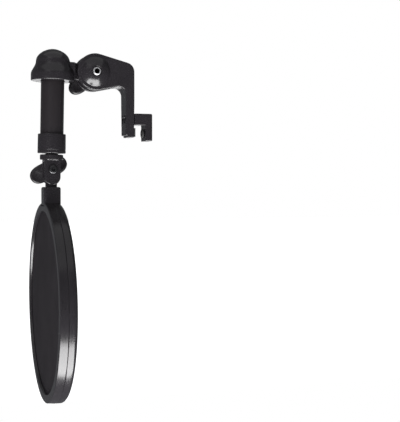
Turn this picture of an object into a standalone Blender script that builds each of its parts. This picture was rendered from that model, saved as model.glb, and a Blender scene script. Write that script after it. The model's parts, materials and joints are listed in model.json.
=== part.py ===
"""Pop filter for a studio microphone, on a hinged drop arm.

A saddle clip grips the ring of a shock mount. A bracket rises from the clip to a
clevis, where an elbow cap tilts with its drop tube. A fork turns in the tube's foot,
and a hoop with two fabric screens tilts in the fork.

Metres, +Z up. The origin is the middle of the clip's seat, the ceiling of its slot.
The hoop hangs on the -X side, and the pivots run along Y with their knobs at +Y.
"""

import math
from collections import namedtuple

import bmesh
import bpy
from mathutils import Matrix, Vector

MM = 0.001
GAP = 0.3 * MM  # between neighbouring pieces
MERGE = 0.00001
SLICE_OVER = 1 * MM  # how far a cutter or a joined block reaches past its face

# Main places. The drop arm is built upright and then leans about its hinge by ARM_LEAN,
# and the hoop hangs straight from its pivot at the arm's foot.
ARM_LEAN = math.radians(1.1)
TUBE_X = -65.4 * MM
HINGE_X = -34.5 * MM
HINGE_Z = 39.1 * MM
PIVOT_Z = -34.9 * MM
HOOP_X = -65.8 * MM
HOOP_Z = -134.4 * MM

# Saddle clip
SLOT_HALF = 4.35 * MM
LEG_LEFT = -11.25 * MM
LEG_RIGHT = -4.65 * MM
LEG_BOTTOM = -9.6 * MM
LEG_STEP = 1.5 * MM
LEG_HALF = 7 * MM
LEG_TAPER_TOP = 27 * MM  # where the leg starts to narrow from the clevis's width
LEG_EDGE = 0.9 * MM
TOP_CORNER = (45.4 * MM, 7 * MM)  # height of the bracket's outer corner, and its radius
INNER_CORNER = (29.8 * MM, 6 * MM)
JAW_RIGHT = 9.85 * MM
JAW_TOP = 8.7 * MM
JAW_BOTTOM = -12.2 * MM
PAD_THICK = 1 * MM
JAW_SCREW_Y = 3.6 * MM
JAW_SCREW_Z = 4.3 * MM
JAW_EDGE = 0.8 * MM
JAW_SCREW_DEPTH = 2.2 * MM  # of the counterbore in the leg
CLAMP_Z = -6.2 * MM
CLAMP_RADIUS = 2.5 * MM
CLAMP_KEY = 1.5 * MM
PRESSURE_RADIUS = 3.4 * MM
PRESSURE_THICK = 1.2 * MM

# Upper clevis and its bolt
DISC_RADIUS = 13.8 * MM
CLEVIS_HALF = 9 * MM
CLEVIS_SLOT_HALF = 4.6 * MM
CLEVIS_DEPTH = 12.8 * MM
BOSS_SPHERE = 14.8 * MM
BOSS_RADIUS = 11 * MM
BOLT_SEAT = 10.6 * MM  # from the middle plane to the underside of the upper bolt's head
UPPER_BOLT = 2.5 * MM
UPPER_HEAD = 3.3 * MM
TONGUE_HALF = 3.2 * MM
ARM_HALF_HEIGHT = 6.6 * MM
EYE_RADIUS = 10.8 * MM
SHOULDER_HALF = 6.2 * MM
SHOULDER_EDGE = 1.2 * MM

# Elbow cap
DOME_TOP = 55.1 * MM
DOME_RADIUS = 12.6 * MM
DOME_HEIGHT = 9.5 * MM
LIP_RADIUS = 16.2 * MM
LIP_TOP = 36.0 * MM
LIP_BOTTOM = 31.2 * MM

# Drop tube, collar and swivel
TUBE_RADIUS = 8.65 * MM
TUBE_WALL = 1.5 * MM
TUBE_TOP = 44.5 * MM
COLLAR_RADIUS = 10.45 * MM
COLLAR_TOP = -8.3 * MM
COLLAR_BOTTOM = -22.8 * MM
COLLAR_FLOOR = 1.5 * MM
STUD_RADIUS = 4 * MM
FLANGE_TOP = -23.7 * MM
FLANGE_THICK = 4 * MM

# Lower fork, tongue and neck
EAR_HALF_WIDTH = 5.9 * MM
EAR_BOTTOM = -46.4 * MM
FORK_HALF = 7.2 * MM
FORK_SLOT_HALF = 3.7 * MM
FORK_SLOT_TOP = -28.8 * MM
LOWER_BOLT = 2 * MM
LOWER_HEAD = 3.2 * MM
LOWER_TONGUE_HALF = 2.3 * MM
LOWER_EYE = 5.6 * MM
STEM_X = (TUBE_X + HOOP_X) / 2
STEM_HALF = 4.1 * MM
NECK_TOP = -47.9 * MM
NECK_HALF_X = 6.2 * MM
NECK_HALF_Y = 8 * MM
NECK_EDGE = 1.3 * MM
TENON_BOTTOM = -58 * MM

# Hoop
RIM_RADIUS = 75 * MM
RIM_WALL = 3 * MM
RIM_HALF = 6.3 * MM
LIP_INNER = 68 * MM
SEAT_HALF = 4.7 * MM  # from the hoop's middle plane to the inside of each lip
SEAM_HALF = 0.15 * MM
LIP_EDGE = 0.6 * MM
SEAM_EDGE = 0.5 * MM
FABRIC_THICK = 0.4 * MM
RIM_STEPS = 60

SHARP_ANGLE = math.radians(35)
ROUND_STEPS = 20

# Screws and nuts
M3_RADIUS = 1.5 * MM
M3_HEAD = 2.8 * MM
M3_KEY = 2.5 * MM
JAW_SCREW_HEAD = 1.6 * MM
JAW_SCREW_LENGTH = 13 * MM
UPPER_HEAD_HEIGHT = 2.8 * MM
UPPER_BOLT_LENGTH = 27.3 * MM
UPPER_KEY = 2.6 * MM
LOWER_HEAD_HEIGHT = 1.8 * MM
LOWER_BOLT_LENGTH = 21 * MM
SWIVEL_HEAD_HEIGHT = 1.8 * MM
SWIVEL_SCREW_LENGTH = 5.4 * MM
SWIVEL_KEY = 2 * MM
CLAMP_RECESS = 0.5 * MM  # of the clamp screw's end in the jaw
CLAMP_EDGE = 0.4 * MM
CLAMP_KEY_DEPTH = 3 * MM
GRUB_HEIGHT = 3.2 * MM  # over the cap's lip
GRUB_KEY = 0.9 * MM
TENON_SCREW = 1 * MM
TENON_HEAD = 1.9 * MM
TENON_HEIGHT = 3.4 * MM  # of the tongue's cross screw over the tenon's foot
TENON_RECESS = 0.9 * MM
TENON_HEAD_HEIGHT = 1.1 * MM
TENON_SCREW_LENGTH = 9.6 * MM
TENON_KEY = 1.3 * MM
UPPER_WASHER = 9.5 * MM
UPPER_STEEL_WASHER = (6 * MM, 1 * MM)  # radius and thickness
LOWER_WASHER = 5 * MM
LOWER_STEEL_WASHER = (4.8 * MM, 0.8 * MM)
SWIVEL_WASHER = 5 * MM
RETAINER = (1.8 * MM, 6.4 * MM, 1 * MM)  # inner radius, outer radius and thickness

Body = namedtuple("Body", "empty at")
Knob = namedtuple(
    "Knob", "base reach wing_start wing_end wing_length wing_width hub bolt nut_width nut_height lean"
)

UPPER_KNOB = Knob(
    10.6 * MM, 19.5 * MM, 12.6 * MM, 17.4 * MM, 20.4 * MM, 8 * MM, 6.6 * MM, UPPER_BOLT, 8 * MM, 4 * MM, 43
)
LOWER_KNOB = Knob(
    8.6 * MM, 16 * MM, 11 * MM, 15 * MM, 15.3 * MM, 8 * MM, 5.6 * MM, LOWER_BOLT, 7 * MM, 3.2 * MM, 30
)
KNOB_WAIST = 0.15
KNOB_EDGE = 1.5 * MM
HUB_EDGE = 1.2 * MM


# Scene and materials


def clear_scene():
    for obj in list(bpy.data.objects):
        bpy.data.objects.remove(obj, do_unlink=True)


def new_collection(name):
    collection = bpy.data.collections.new(name)
    bpy.context.scene.collection.children.link(collection)
    return collection


def new_material(name, colour, roughness, metallic=0.0):
    material = bpy.data.materials.new(name)
    material.use_nodes = True
    shader = material.node_tree.nodes["Principled BSDF"]
    shader.inputs["Base Color"].default_value = (*colour, 1.0)
    shader.inputs["Roughness"].default_value = roughness
    shader.inputs["Metallic"].default_value = metallic
    return material


clear_scene()
PARTS = new_collection("pop_filter")
CUTTERS = new_collection("cutters")

PLASTIC = new_material("black_plastic", (0.022, 0.021, 0.023), 0.42)
SOFT_PLASTIC = new_material("knob_plastic", (0.02, 0.02, 0.021), 0.5)
PAINTED = new_material("painted_tube", (0.024, 0.023, 0.025), 0.35)
FABRIC = new_material("filter_fabric", (0.012, 0.012, 0.013), 0.9)
RUBBER = new_material("rubber", (0.015, 0.015, 0.015), 0.8)
NYLON = new_material("nylon", (0.03, 0.03, 0.032), 0.55)
STEEL = new_material("black_steel", (0.06, 0.06, 0.063), 0.3, 1.0)
PLATED = new_material("plated_steel", (0.55, 0.55, 0.56), 0.3, 1.0)


# Shapes


def body(name, at, parent=None):
    """An empty on a joint, which carries the pieces of one moving body."""
    empty = bpy.data.objects.new(name, None)
    empty.empty_display_size = 10 * MM
    PARTS.objects.link(empty)
    at = Vector(at)
    if parent:
        empty.parent = parent.empty
    empty.location = at - parent.at if parent else at
    return Body(empty, at)


def add(name, mesh, at=(0, 0, 0), turn=(0, 0, 0)):
    """Puts a mesh among the cutters at a place in the world. Finish makes it a piece."""
    obj = bpy.data.objects.new(name, mesh)
    obj.location = at
    obj.rotation_euler = turn
    obj.hide_render = True
    obj.display_type = "WIRE"
    CUTTERS.objects.link(obj)
    return obj


def carry(obj, owner):
    """Parents an object to a body where it stands."""
    obj.location = Vector(obj.location) - owner.at
    obj.parent = owner.empty


def finish(obj, name, material, owner):
    """Names a piece, gives it its material and hands it and its cutters to its body."""
    obj.name = name
    obj.data.name = name
    CUTTERS.objects.unlink(obj)
    PARTS.objects.link(obj)
    obj.hide_render = False
    obj.display_type = "TEXTURED"
    obj.data.materials.clear()
    obj.data.materials.append(material)
    obj.data.shade_smooth()
    obj.data.set_sharp_from_angle(angle=SHARP_ANGLE)
    carry(obj, owner)
    for modifier in obj.modifiers:
        if modifier.type == "BOOLEAN":
            carry(modifier.object, owner)


TURNS = {
    "X": (0, math.pi / 2, 0),
    "Y": (-math.pi / 2, 0, 0),
    "Z": (0, 0, 0),
}  # each one lays a shape's own Z along that world axis


def box(low, high, bevel=0.0):
    """A box between two corners in the world."""
    low, high = Vector(low), Vector(high)
    mesh = bpy.data.meshes.new("box")
    shape = bmesh.new()
    bmesh.ops.create_cube(shape, size=1.0)
    bmesh.ops.scale(shape, vec=high - low, verts=shape.verts)
    shape.to_mesh(mesh)
    shape.free()
    obj = add("box", mesh, (low + high) / 2)
    if bevel:
        modifier = obj.modifiers.new("Bevel", "BEVEL")
        modifier.width = bevel
        modifier.segments = 2
    return obj


def rod(radius, start, end, axis, at, sides=ROUND_STEPS):
    """A cylinder along a world axis, from start to end measured from the point at."""
    mesh = bpy.data.meshes.new("rod")
    shape = bmesh.new()
    bmesh.ops.create_cone(
        shape,
        cap_ends=True,
        segments=sides,
        radius1=radius,
        radius2=radius,
        depth=end - start,
        matrix=Matrix.Translation((0, 0, (start + end) / 2)),
    )
    shape.to_mesh(mesh)
    shape.free()
    return add("rod", mesh, at, TURNS[axis])


def turned(profile, axis, at, steps=24, ring=False):
    """A turned piece. The profile is (radius, height) points down the outer side."""
    mesh = bpy.data.meshes.new("profile")
    edges = [(i, i + 1) for i in range(len(profile) - 1)]
    if ring:
        edges.append((len(profile) - 1, 0))
    mesh.from_pydata([(r, 0, h) for r, h in profile], edges, [])
    obj = add("turned", mesh, at, TURNS[axis])
    screw = obj.modifiers.new("Screw", "SCREW")
    screw.steps = steps
    screw.render_steps = steps
    screw.use_merge_vertices = True
    screw.merge_threshold = MERGE
    return obj


def washer(inner, outer, start, end, axis, at, steps=ROUND_STEPS):
    """A flat ring along a world axis."""
    return turned([(outer, end), (outer, start), (inner, start), (inner, end)], axis, at, steps, ring=True)


def arc(centre, radius, start, end, count):
    """Points on an arc in degrees, both ends included."""
    points = []
    for i in range(count + 1):
        angle = math.radians(start + (end - start) * i / count)
        points.append((centre[0] + radius * math.cos(angle), centre[1] + radius * math.sin(angle)))
    return points


def rounded(corners, count=5):
    """An outline whose corners (x, z, radius) are rounded by arcs."""
    outline = []
    for i, (x, z, radius) in enumerate(corners):
        here = Vector((x, z))
        if not radius:
            outline.append(here)
            continue
        back = (Vector(corners[i - 1][:2]) - here).normalized()
        ahead = (Vector(corners[(i + 1) % len(corners)][:2]) - here).normalized()
        half = back.angle(ahead) / 2
        middle = here + (back + ahead).normalized() * radius / math.sin(half)
        first = (here + back * radius / math.tan(half) - middle).normalized()
        last = (here + ahead * radius / math.tan(half) - middle).normalized()
        for k in range(count + 1):
            outline.append(middle + first.slerp(last, k / count) * radius)
    return outline


def plate(outline, half, middle_y=0.0, edge=0.0):
    """A flat piece with its outline in the XZ plane and its edges rounded."""
    curve = bpy.data.curves.new("outline", "CURVE")
    curve.dimensions = "2D"
    curve.fill_mode = "BOTH"
    curve.extrude = half - edge
    curve.bevel_depth = edge
    curve.offset = -edge
    curve.bevel_resolution = 1
    spline = curve.splines.new("POLY")
    spline.points.add(len(outline) - 1)
    for point, (x, z) in zip(spline.points, outline):
        point.co = (x, z, 0, 1)
    spline.use_cyclic_u = True
    flat = add("outline", curve, (0, middle_y, 0), (math.pi / 2, 0, 0))
    bpy.context.view_layer.update()
    evaluated = flat.evaluated_get(bpy.context.evaluated_depsgraph_get())
    mesh = bpy.data.meshes.new_from_object(evaluated)
    shape = bmesh.new()
    shape.from_mesh(mesh)
    bmesh.ops.remove_doubles(shape, verts=shape.verts, dist=MERGE)
    bmesh.ops.recalc_face_normals(shape, faces=shape.faces)
    shape.to_mesh(mesh)
    shape.free()
    solid = add("plate", mesh)
    solid.matrix_world = flat.matrix_world
    bpy.data.objects.remove(flat, do_unlink=True)
    return solid


def boolean(obj, other, operation):
    modifier = obj.modifiers.new(operation.title(), "BOOLEAN")
    modifier.operation = operation
    modifier.solver = "EXACT"
    modifier.object = other


def cut(obj, *cutters):
    for cutter in cutters:
        boolean(obj, cutter, "DIFFERENCE")
    return obj


def join(obj, *others):
    for other in others:
        boolean(obj, other, "UNION")
    return obj


def tangent_corner(centre, radius, point, side):
    """Where the line from a point touches a circle, as an angle in degrees."""
    away = Vector(point) - Vector(centre)
    lean = math.degrees(math.acos(radius / away.length))
    return math.degrees(math.atan2(away.y, away.x)) + side * lean


def socket_screw(head, head_height, shank, length, key, axis, at, flip=False):
    """A screw with a domed head and a hex socket, its head's underside at the point."""
    way = -1 if flip else 1
    edge = 0.25 * head
    profile = [
        (0, head_height),
        (head - edge, head_height),
        (head, head_height - edge),
        (head, 0),
        (shank, 0),
        (shank, -length + 0.4 * MM),
        (shank - 0.4 * MM, -length),
        (0, -length),
    ]
    if flip:
        profile = [(r, -h) for r, h in reversed(profile)]
    screw = turned(profile, axis, at, 16)
    depth = 0.62 * head_height
    ends = sorted((way * (head_height - depth), way * (head_height + SLICE_OVER)))
    return cut(screw, rod(key / math.sqrt(3), *ends, axis, at, sides=6))


# The saddle clip and the bracket


def boss_profile():
    """A spherical cap on the front ear, with a root that reaches into it."""
    steps = 6
    widest = math.asin(BOSS_RADIUS / BOSS_SPHERE)
    points = []
    for k in range(steps + 1):
        angle = widest * k / steps
        height = math.cos(angle) - math.cos(widest)
        points.append((BOSS_SPHERE * math.sin(angle), BOSS_SPHERE * height))
    return points + [(BOSS_RADIUS, -SLICE_OVER), (0, -SLICE_OVER)]


def make_leg_side(way):
    """A cutter that narrows one side of the leg towards its foot."""
    run = LEG_TAPER_TOP - LEG_BOTTOM
    taper = math.atan((CLEVIS_HALF - LEG_HALF) / run)
    half_width = (LEG_RIGHT - LEG_LEFT) / 2 + SLICE_OVER
    half_height = run / 2 / math.cos(taper) + SLICE_OVER
    side = box((-half_width, 0, -half_height), (half_width, CLEVIS_HALF, half_height))
    side.rotation_euler = (-way * taper + (0 if way > 0 else math.pi), 0, 0)
    middle = Vector((LEG_LEFT + LEG_RIGHT, way * (LEG_HALF + CLEVIS_HALF), LEG_TAPER_TOP + LEG_BOTTOM)) / 2
    side.location = middle + side.rotation_euler.to_matrix() @ Vector((0, CLEVIS_HALF / 2, 0))
    return side


def make_bracket(owner):
    centre = (HINGE_X, HINGE_Z)
    top = tangent_corner(centre, DISC_RADIUS, (LEG_RIGHT, TOP_CORNER[0]), 1)
    bottom = tangent_corner(centre, DISC_RADIUS, (LEG_LEFT, INNER_CORNER[0]), -1)
    disc = [(x, z, 0) for x, z in arc(centre, DISC_RADIUS, top, bottom + 360, 24)]
    outline = rounded(
        disc
        + [
            (LEG_LEFT, *INNER_CORNER),
            (LEG_LEFT, LEG_BOTTOM + LEG_STEP, 0),
            (LEG_LEFT + LEG_STEP, LEG_BOTTOM + LEG_STEP, 0),
            (LEG_LEFT + LEG_STEP, LEG_BOTTOM, 0),
            (LEG_RIGHT, LEG_BOTTOM, 0),
            (LEG_RIGHT, *TOP_CORNER),
        ]
    )
    bracket = plate(outline, CLEVIS_HALF, edge=LEG_EDGE)
    boss = turned(boss_profile(), "Y", (HINGE_X, -CLEVIS_HALF, HINGE_Z))
    boss.rotation_euler = (math.pi / 2, 0, 0)
    join(bracket, boss)
    at = (HINGE_X, 0, HINGE_Z)
    slot = box(
        (HINGE_X - DISC_RADIUS - SLICE_OVER, -CLEVIS_SLOT_HALF, HINGE_Z - DISC_RADIUS - SLICE_OVER),
        (HINGE_X + CLEVIS_DEPTH, CLEVIS_SLOT_HALF, HINGE_Z + DISC_RADIUS + SLICE_OVER),
    )
    front = -CLEVIS_HALF - BOSS_SPHERE
    bore = rod(UPPER_BOLT + GAP, front, CLEVIS_HALF + SLICE_OVER, "Y", at)
    recess = rod(UPPER_HEAD + GAP, front, -BOLT_SEAT + GAP, "Y", at)
    sides = [make_leg_side(way) for way in (-1, 1)]
    screws = []
    for y in (-JAW_SCREW_Y, JAW_SCREW_Y):
        at = (0, y, JAW_SCREW_Z)
        screws.append(rod(M3_RADIUS + GAP, LEG_LEFT - SLICE_OVER, LEG_RIGHT + SLICE_OVER, "X", at))
        screws.append(rod(M3_HEAD + GAP, LEG_LEFT - SLICE_OVER, LEG_LEFT + JAW_SCREW_DEPTH, "X", at))
    cut(bracket, slot, bore, recess, *sides, *screws)
    finish(bracket, "bracket", PLASTIC, owner)


def make_clip(owner, screw_owner):
    """The saddle over the shock mount's ring, its screws, its pads and its clamp screw."""
    bridge_left = LEG_RIGHT + GAP
    jaw = box((bridge_left, -LEG_HALF, JAW_BOTTOM), (JAW_RIGHT, LEG_HALF, JAW_TOP), bevel=JAW_EDGE)
    slot = box(
        (bridge_left - SLICE_OVER, -LEG_HALF - SLICE_OVER, JAW_BOTTOM - SLICE_OVER),
        (SLOT_HALF, LEG_HALF + SLICE_OVER, 0),
    )
    clamp = (0, 0, CLAMP_Z)
    holes = [rod(CLAMP_RADIUS + GAP, SLOT_HALF - SLICE_OVER, JAW_RIGHT + SLICE_OVER, "X", clamp)]
    for name, y in (("front", -JAW_SCREW_Y), ("rear", JAW_SCREW_Y)):
        at = (0, y, JAW_SCREW_Z)
        holes.append(rod(M3_RADIUS + GAP, bridge_left - SLICE_OVER, 4.5 * MM, "X", at))
        seat = (LEG_LEFT + JAW_SCREW_DEPTH - GAP, y, JAW_SCREW_Z)
        screw = socket_screw(
            M3_HEAD, JAW_SCREW_HEAD, M3_RADIUS, JAW_SCREW_LENGTH, M3_KEY, "X", seat, flip=True
        )
        finish(screw, "jaw_screw_" + name, STEEL, owner)
    cut(jaw, slot, *holes)
    finish(jaw, "saddle_jaw", PLASTIC, owner)

    pad = box(
        (LEG_RIGHT + GAP, -LEG_HALF + 1 * MM, LEG_BOTTOM + 0.6 * MM),
        (LEG_RIGHT + GAP + PAD_THICK, LEG_HALF - 1 * MM, -2.4 * MM),
    )
    finish(pad, "leg_pad", RUBBER, owner)

    outer_end = JAW_RIGHT - CLAMP_RECESS
    screw = turned(
        [
            (0, outer_end),
            (CLAMP_RADIUS - CLAMP_EDGE, outer_end),
            (CLAMP_RADIUS, outer_end - CLAMP_EDGE),
            (CLAMP_RADIUS, SLOT_HALF + CLAMP_EDGE),
            (1.4 * MM, SLOT_HALF),
            (0, SLOT_HALF),
        ],
        "X",
        clamp,
        16,
    )
    cut(screw, rod(CLAMP_KEY, JAW_RIGHT - CLAMP_KEY_DEPTH, JAW_RIGHT + SLICE_OVER, "X", clamp, sides=6))
    finish(screw, "clamp_screw", STEEL, screw_owner)
    face = SLOT_HALF - GAP
    pressure_pad = washer(0.9 * MM, PRESSURE_RADIUS, face - PRESSURE_THICK, face, "X", clamp)
    finish(pressure_pad, "pressure_pad", RUBBER, screw_owner)


# Wing knobs


def knob_outline(half_length, half_width, waist, lean, count=28):
    """An oval with a waist at its middle, turned by lean degrees in the XZ plane."""
    turn = math.radians(lean)
    points = []
    for i in range(count):
        angle = 2 * math.pi * i / count
        x = half_length * math.cos(angle)
        z = half_width * math.sin(angle) * (1 - waist * math.sin(angle) ** 6)
        points.append(
            (x * math.cos(turn) - z * math.sin(turn), x * math.sin(turn) + z * math.cos(turn))
        )
    return points


def make_knob(prefix, owner, at, size):
    """A plastic wing knob with a hex nut let into its hub."""
    x, z = at
    wing = knob_outline(size.wing_length, size.wing_width, KNOB_WAIST, size.lean)
    outline = [(x + u, z + v) for u, v in wing]
    half = (size.wing_end - size.wing_start) / 2
    knob = plate(outline, half, size.wing_start + half, edge=KNOB_EDGE)
    point = (x, 0, z)
    hub = [
        (0, size.reach),
        (size.hub - 2 * HUB_EDGE, size.reach),
        (size.hub - HUB_EDGE, size.reach - HUB_EDGE),
        (size.hub, size.base),
        (0, size.base),
    ]
    join(knob, turned(hub, "Y", point, ROUND_STEPS))
    nut_radius = size.nut_width / math.sqrt(3)
    below = size.base - SLICE_OVER
    start = size.base + GAP
    end = start + size.nut_height
    pocket = rod(nut_radius + 1.2 * GAP, below, end + GAP, "Y", point, sides=6)
    hole = rod(size.bolt + GAP, below, size.reach - 1.5 * MM, "Y", point)
    cut(knob, pocket, hole)
    finish(knob, prefix + "_wing_knob", SOFT_PLASTIC, owner)
    insert = rod(nut_radius, start, end, "Y", point, sides=6)
    cut(insert, rod(size.bolt + GAP, below, size.reach, "Y", point))
    finish(insert, prefix + "_nut_insert", STEEL, owner)


# The upper hinge and the drop arm


def make_upper_hinge(owner):
    at = (HINGE_X, 0, HINGE_Z)
    hole = UPPER_BOLT + GAP
    inner = TONGUE_HALF + GAP
    outer = CLEVIS_SLOT_HALF - GAP
    front = washer(hole, UPPER_WASHER, -outer, -inner, "Y", at)
    finish(front, "upper_friction_washer_front", NYLON, owner)
    rear = washer(hole, UPPER_WASHER, inner, outer, "Y", at)
    finish(rear, "upper_friction_washer_rear", NYLON, owner)
    face = CLEVIS_HALF + GAP
    radius, thickness = UPPER_STEEL_WASHER
    finish(washer(hole, radius, face, face + thickness, "Y", at), "upper_washer", STEEL, owner)
    seat = (HINGE_X, -BOLT_SEAT, HINGE_Z)
    bolt = socket_screw(
        UPPER_HEAD, UPPER_HEAD_HEIGHT, UPPER_BOLT, UPPER_BOLT_LENGTH, UPPER_KEY, "Y", seat, flip=True
    )
    finish(bolt, "upper_pivot_bolt", PLATED, owner)


def cap_profile():
    """The elbow cap's outer side: a flattened dome that flares into its lip."""
    points = [(0, DOME_TOP)]
    middle = DOME_TOP - DOME_HEIGHT
    for k in range(1, 7):
        angle = math.pi / 2 * k / 6
        points.append((DOME_RADIUS * math.sin(angle), middle + DOME_HEIGHT * math.cos(angle)))
    flare = middle - LIP_TOP
    for k in range(1, 6):
        share = k / 5
        ease = share**2.2 * (3.2 - 2.2 * share)
        points.append((DOME_RADIUS + (LIP_RADIUS - DOME_RADIUS) * ease, middle - flare * share))
    points.append((LIP_RADIUS, LIP_BOTTOM + 0.6 * MM))
    points.append((LIP_RADIUS - 0.6 * MM, LIP_BOTTOM))
    points.append((0, LIP_BOTTOM))
    return points


def make_elbow_cap(owner):
    axis = (TUBE_X, 0, 0)
    cap = turned(cap_profile(), "Z", axis, 32)
    shoulder_end = HINGE_X - DISC_RADIUS - 2 * GAP
    shoulder = box(
        (TUBE_X, -SHOULDER_HALF, HINGE_Z - ARM_HALF_HEIGHT),
        (shoulder_end, SHOULDER_HALF, HINGE_Z + ARM_HALF_HEIGHT),
        bevel=SHOULDER_EDGE,
    )
    half_height = ARM_HALF_HEIGHT - 0.2 * MM
    eye_top = math.degrees(math.pi - math.asin(half_height / EYE_RADIUS))
    outline = arc((HINGE_X, HINGE_Z), EYE_RADIUS, -eye_top, eye_top, 16)
    outline += [(TUBE_X, HINGE_Z + half_height), (TUBE_X, HINGE_Z - half_height)]
    join(cap, shoulder, plate(outline, TONGUE_HALF))
    bore = rod(TUBE_RADIUS + GAP, LIP_BOTTOM - SLICE_OVER, TUBE_TOP + GAP, "Z", axis, 28)
    eye = rod(UPPER_BOLT + GAP, -10 * MM, 10 * MM, "Y", (HINGE_X, 0, HINGE_Z))
    grub_at = (TUBE_X, 0, LIP_BOTTOM + GRUB_HEIGHT)
    grub_hole = rod(M3_RADIUS + GAP, TUBE_RADIUS - SLICE_OVER, LIP_RADIUS + SLICE_OVER, "Y", grub_at, 12)
    cut(cap, bore, eye, grub_hole)
    finish(cap, "elbow_cap", PLASTIC, owner)
    grub = rod(M3_RADIUS, TUBE_RADIUS + GAP, LIP_RADIUS - 1.5 * MM, "Y", grub_at, 12)
    cut(grub, rod(GRUB_KEY, LIP_RADIUS - 3.5 * MM, LIP_RADIUS, "Y", grub_at, sides=6))
    finish(grub, "elbow_screw", STEEL, owner)


def make_tube(owner):
    axis = (TUBE_X, 0, 0)
    foot = COLLAR_BOTTOM + COLLAR_FLOOR + GAP
    tube = washer(TUBE_RADIUS - TUBE_WALL, TUBE_RADIUS, foot, TUBE_TOP, "Z", axis, 28)
    finish(tube, "drop_tube", PAINTED, owner)
    bore = TUBE_RADIUS + GAP
    hole = STUD_RADIUS + GAP
    edge = 0.5 * MM
    collar = turned(
        [
            (COLLAR_RADIUS - edge, COLLAR_TOP),
            (COLLAR_RADIUS, COLLAR_TOP - edge),
            (COLLAR_RADIUS, COLLAR_BOTTOM + edge),
            (COLLAR_RADIUS - edge, COLLAR_BOTTOM),
            (hole, COLLAR_BOTTOM),
            (hole, COLLAR_BOTTOM + COLLAR_FLOOR),
            (bore, COLLAR_BOTTOM + COLLAR_FLOOR),
            (bore, COLLAR_TOP),
        ],
        "Z",
        axis,
        28,
        ring=True,
    )
    finish(collar, "collar", PLASTIC, owner)


# The swivel and the lower fork


def make_fork(owner):
    axis = (TUBE_X, 0, 0)
    flange_bottom = FLANGE_TOP - FLANGE_THICK
    stud_top = COLLAR_BOTTOM + COLLAR_FLOOR + 2 * GAP
    edge = 0.5 * MM
    fork = turned(
        [
            (0, stud_top),
            (STUD_RADIUS, stud_top),
            (STUD_RADIUS, FLANGE_TOP),
            (TUBE_RADIUS - edge, FLANGE_TOP),
            (TUBE_RADIUS, FLANGE_TOP - edge),
            (TUBE_RADIUS, flange_bottom + edge),
            (TUBE_RADIUS - edge, flange_bottom),
            (0, flange_bottom),
        ],
        "Z",
        axis,
    )
    ear_middle = EAR_BOTTOM + EAR_HALF_WIDTH
    outline = arc((TUBE_X, ear_middle), EAR_HALF_WIDTH, -180, 0, 12)
    outline += [
        (TUBE_X + EAR_HALF_WIDTH, flange_bottom + SLICE_OVER),
        (TUBE_X - EAR_HALF_WIDTH, flange_bottom + SLICE_OVER),
    ]
    join(fork, plate(outline, FORK_HALF, edge=0.6 * MM))
    slot = box(
        (TUBE_X - 12 * MM, -FORK_SLOT_HALF, EAR_BOTTOM - SLICE_OVER),
        (TUBE_X + 12 * MM, FORK_SLOT_HALF, FORK_SLOT_TOP),
    )
    pivot = (TUBE_X, 0, PIVOT_Z)
    bore = rod(LOWER_BOLT + GAP, -12 * MM, 12 * MM, "Y", pivot)
    screw_hole = rod(M3_RADIUS + GAP, FLANGE_TOP - 2.2 * MM, stud_top + SLICE_OVER, "Z", axis, 12)
    cut(fork, slot, bore, screw_hole)
    finish(fork, "lower_fork", PLASTIC, owner)

    thin = FLANGE_TOP + GAP
    thin_washer = washer(STUD_RADIUS + GAP, SWIVEL_WASHER, thin, thin + GAP, "Z", axis)
    finish(thin_washer, "swivel_washer", NYLON, owner)
    low = stud_top + GAP
    inner, outer, thickness = RETAINER
    retainer = washer(inner, outer, low, low + thickness, "Z", axis)
    finish(retainer, "swivel_retainer", STEEL, owner)
    seat = (TUBE_X, 0, low + thickness + GAP)
    screw = socket_screw(
        M3_HEAD, SWIVEL_HEAD_HEIGHT, M3_RADIUS, SWIVEL_SCREW_LENGTH, SWIVEL_KEY, "Z", seat
    )
    finish(screw, "swivel_screw", STEEL, owner)

    hole = LOWER_BOLT + GAP
    inner = LOWER_TONGUE_HALF + GAP
    outer = FORK_SLOT_HALF - GAP
    front = washer(hole, LOWER_WASHER, -outer, -inner, "Y", pivot)
    finish(front, "lower_friction_washer_front", NYLON, owner)
    rear = washer(hole, LOWER_WASHER, inner, outer, "Y", pivot)
    finish(rear, "lower_friction_washer_rear", NYLON, owner)
    face = FORK_HALF + GAP
    radius, thickness = LOWER_STEEL_WASHER
    finish(washer(hole, radius, face, face + thickness, "Y", pivot), "lower_washer", STEEL, owner)
    seat = (TUBE_X, -FORK_HALF - GAP, PIVOT_Z)
    bolt = socket_screw(
        LOWER_HEAD, LOWER_HEAD_HEIGHT, LOWER_BOLT, LOWER_BOLT_LENGTH, M3_KEY, "Y", seat, flip=True
    )
    finish(bolt, "lower_pivot_bolt", STEEL, owner)


# The hoop


def make_tongue(owner):
    eye = arc((TUBE_X, PIVOT_Z), LOWER_EYE, -40, 220, 14)
    outline = eye + [
        (STEM_X - STEM_HALF, PIVOT_Z - 8 * MM),
        (STEM_X - STEM_HALF, TENON_BOTTOM),
        (STEM_X + STEM_HALF, TENON_BOTTOM),
        (STEM_X + STEM_HALF, PIVOT_Z - 8 * MM),
    ]
    tongue = plate(outline, LOWER_TONGUE_HALF)
    bore = rod(LOWER_BOLT + GAP, -5 * MM, 5 * MM, "Y", (TUBE_X, 0, PIVOT_Z))
    at = (0, 0, TENON_BOTTOM + TENON_HEIGHT)
    cross = rod(TENON_SCREW + GAP, TUBE_X - 8 * MM, TUBE_X + 8 * MM, "X", at, 12)
    cut(tongue, bore, cross)
    finish(tongue, "tongue", PLASTIC, owner)
    seat = (HOOP_X + NECK_HALF_X - TENON_RECESS + GAP, 0, at[2])
    screw = socket_screw(
        TENON_HEAD, TENON_HEAD_HEIGHT, TENON_SCREW, TENON_SCREW_LENGTH, TENON_KEY, "X", seat
    )
    finish(screw, "tongue_screw", STEEL, owner)


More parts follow.
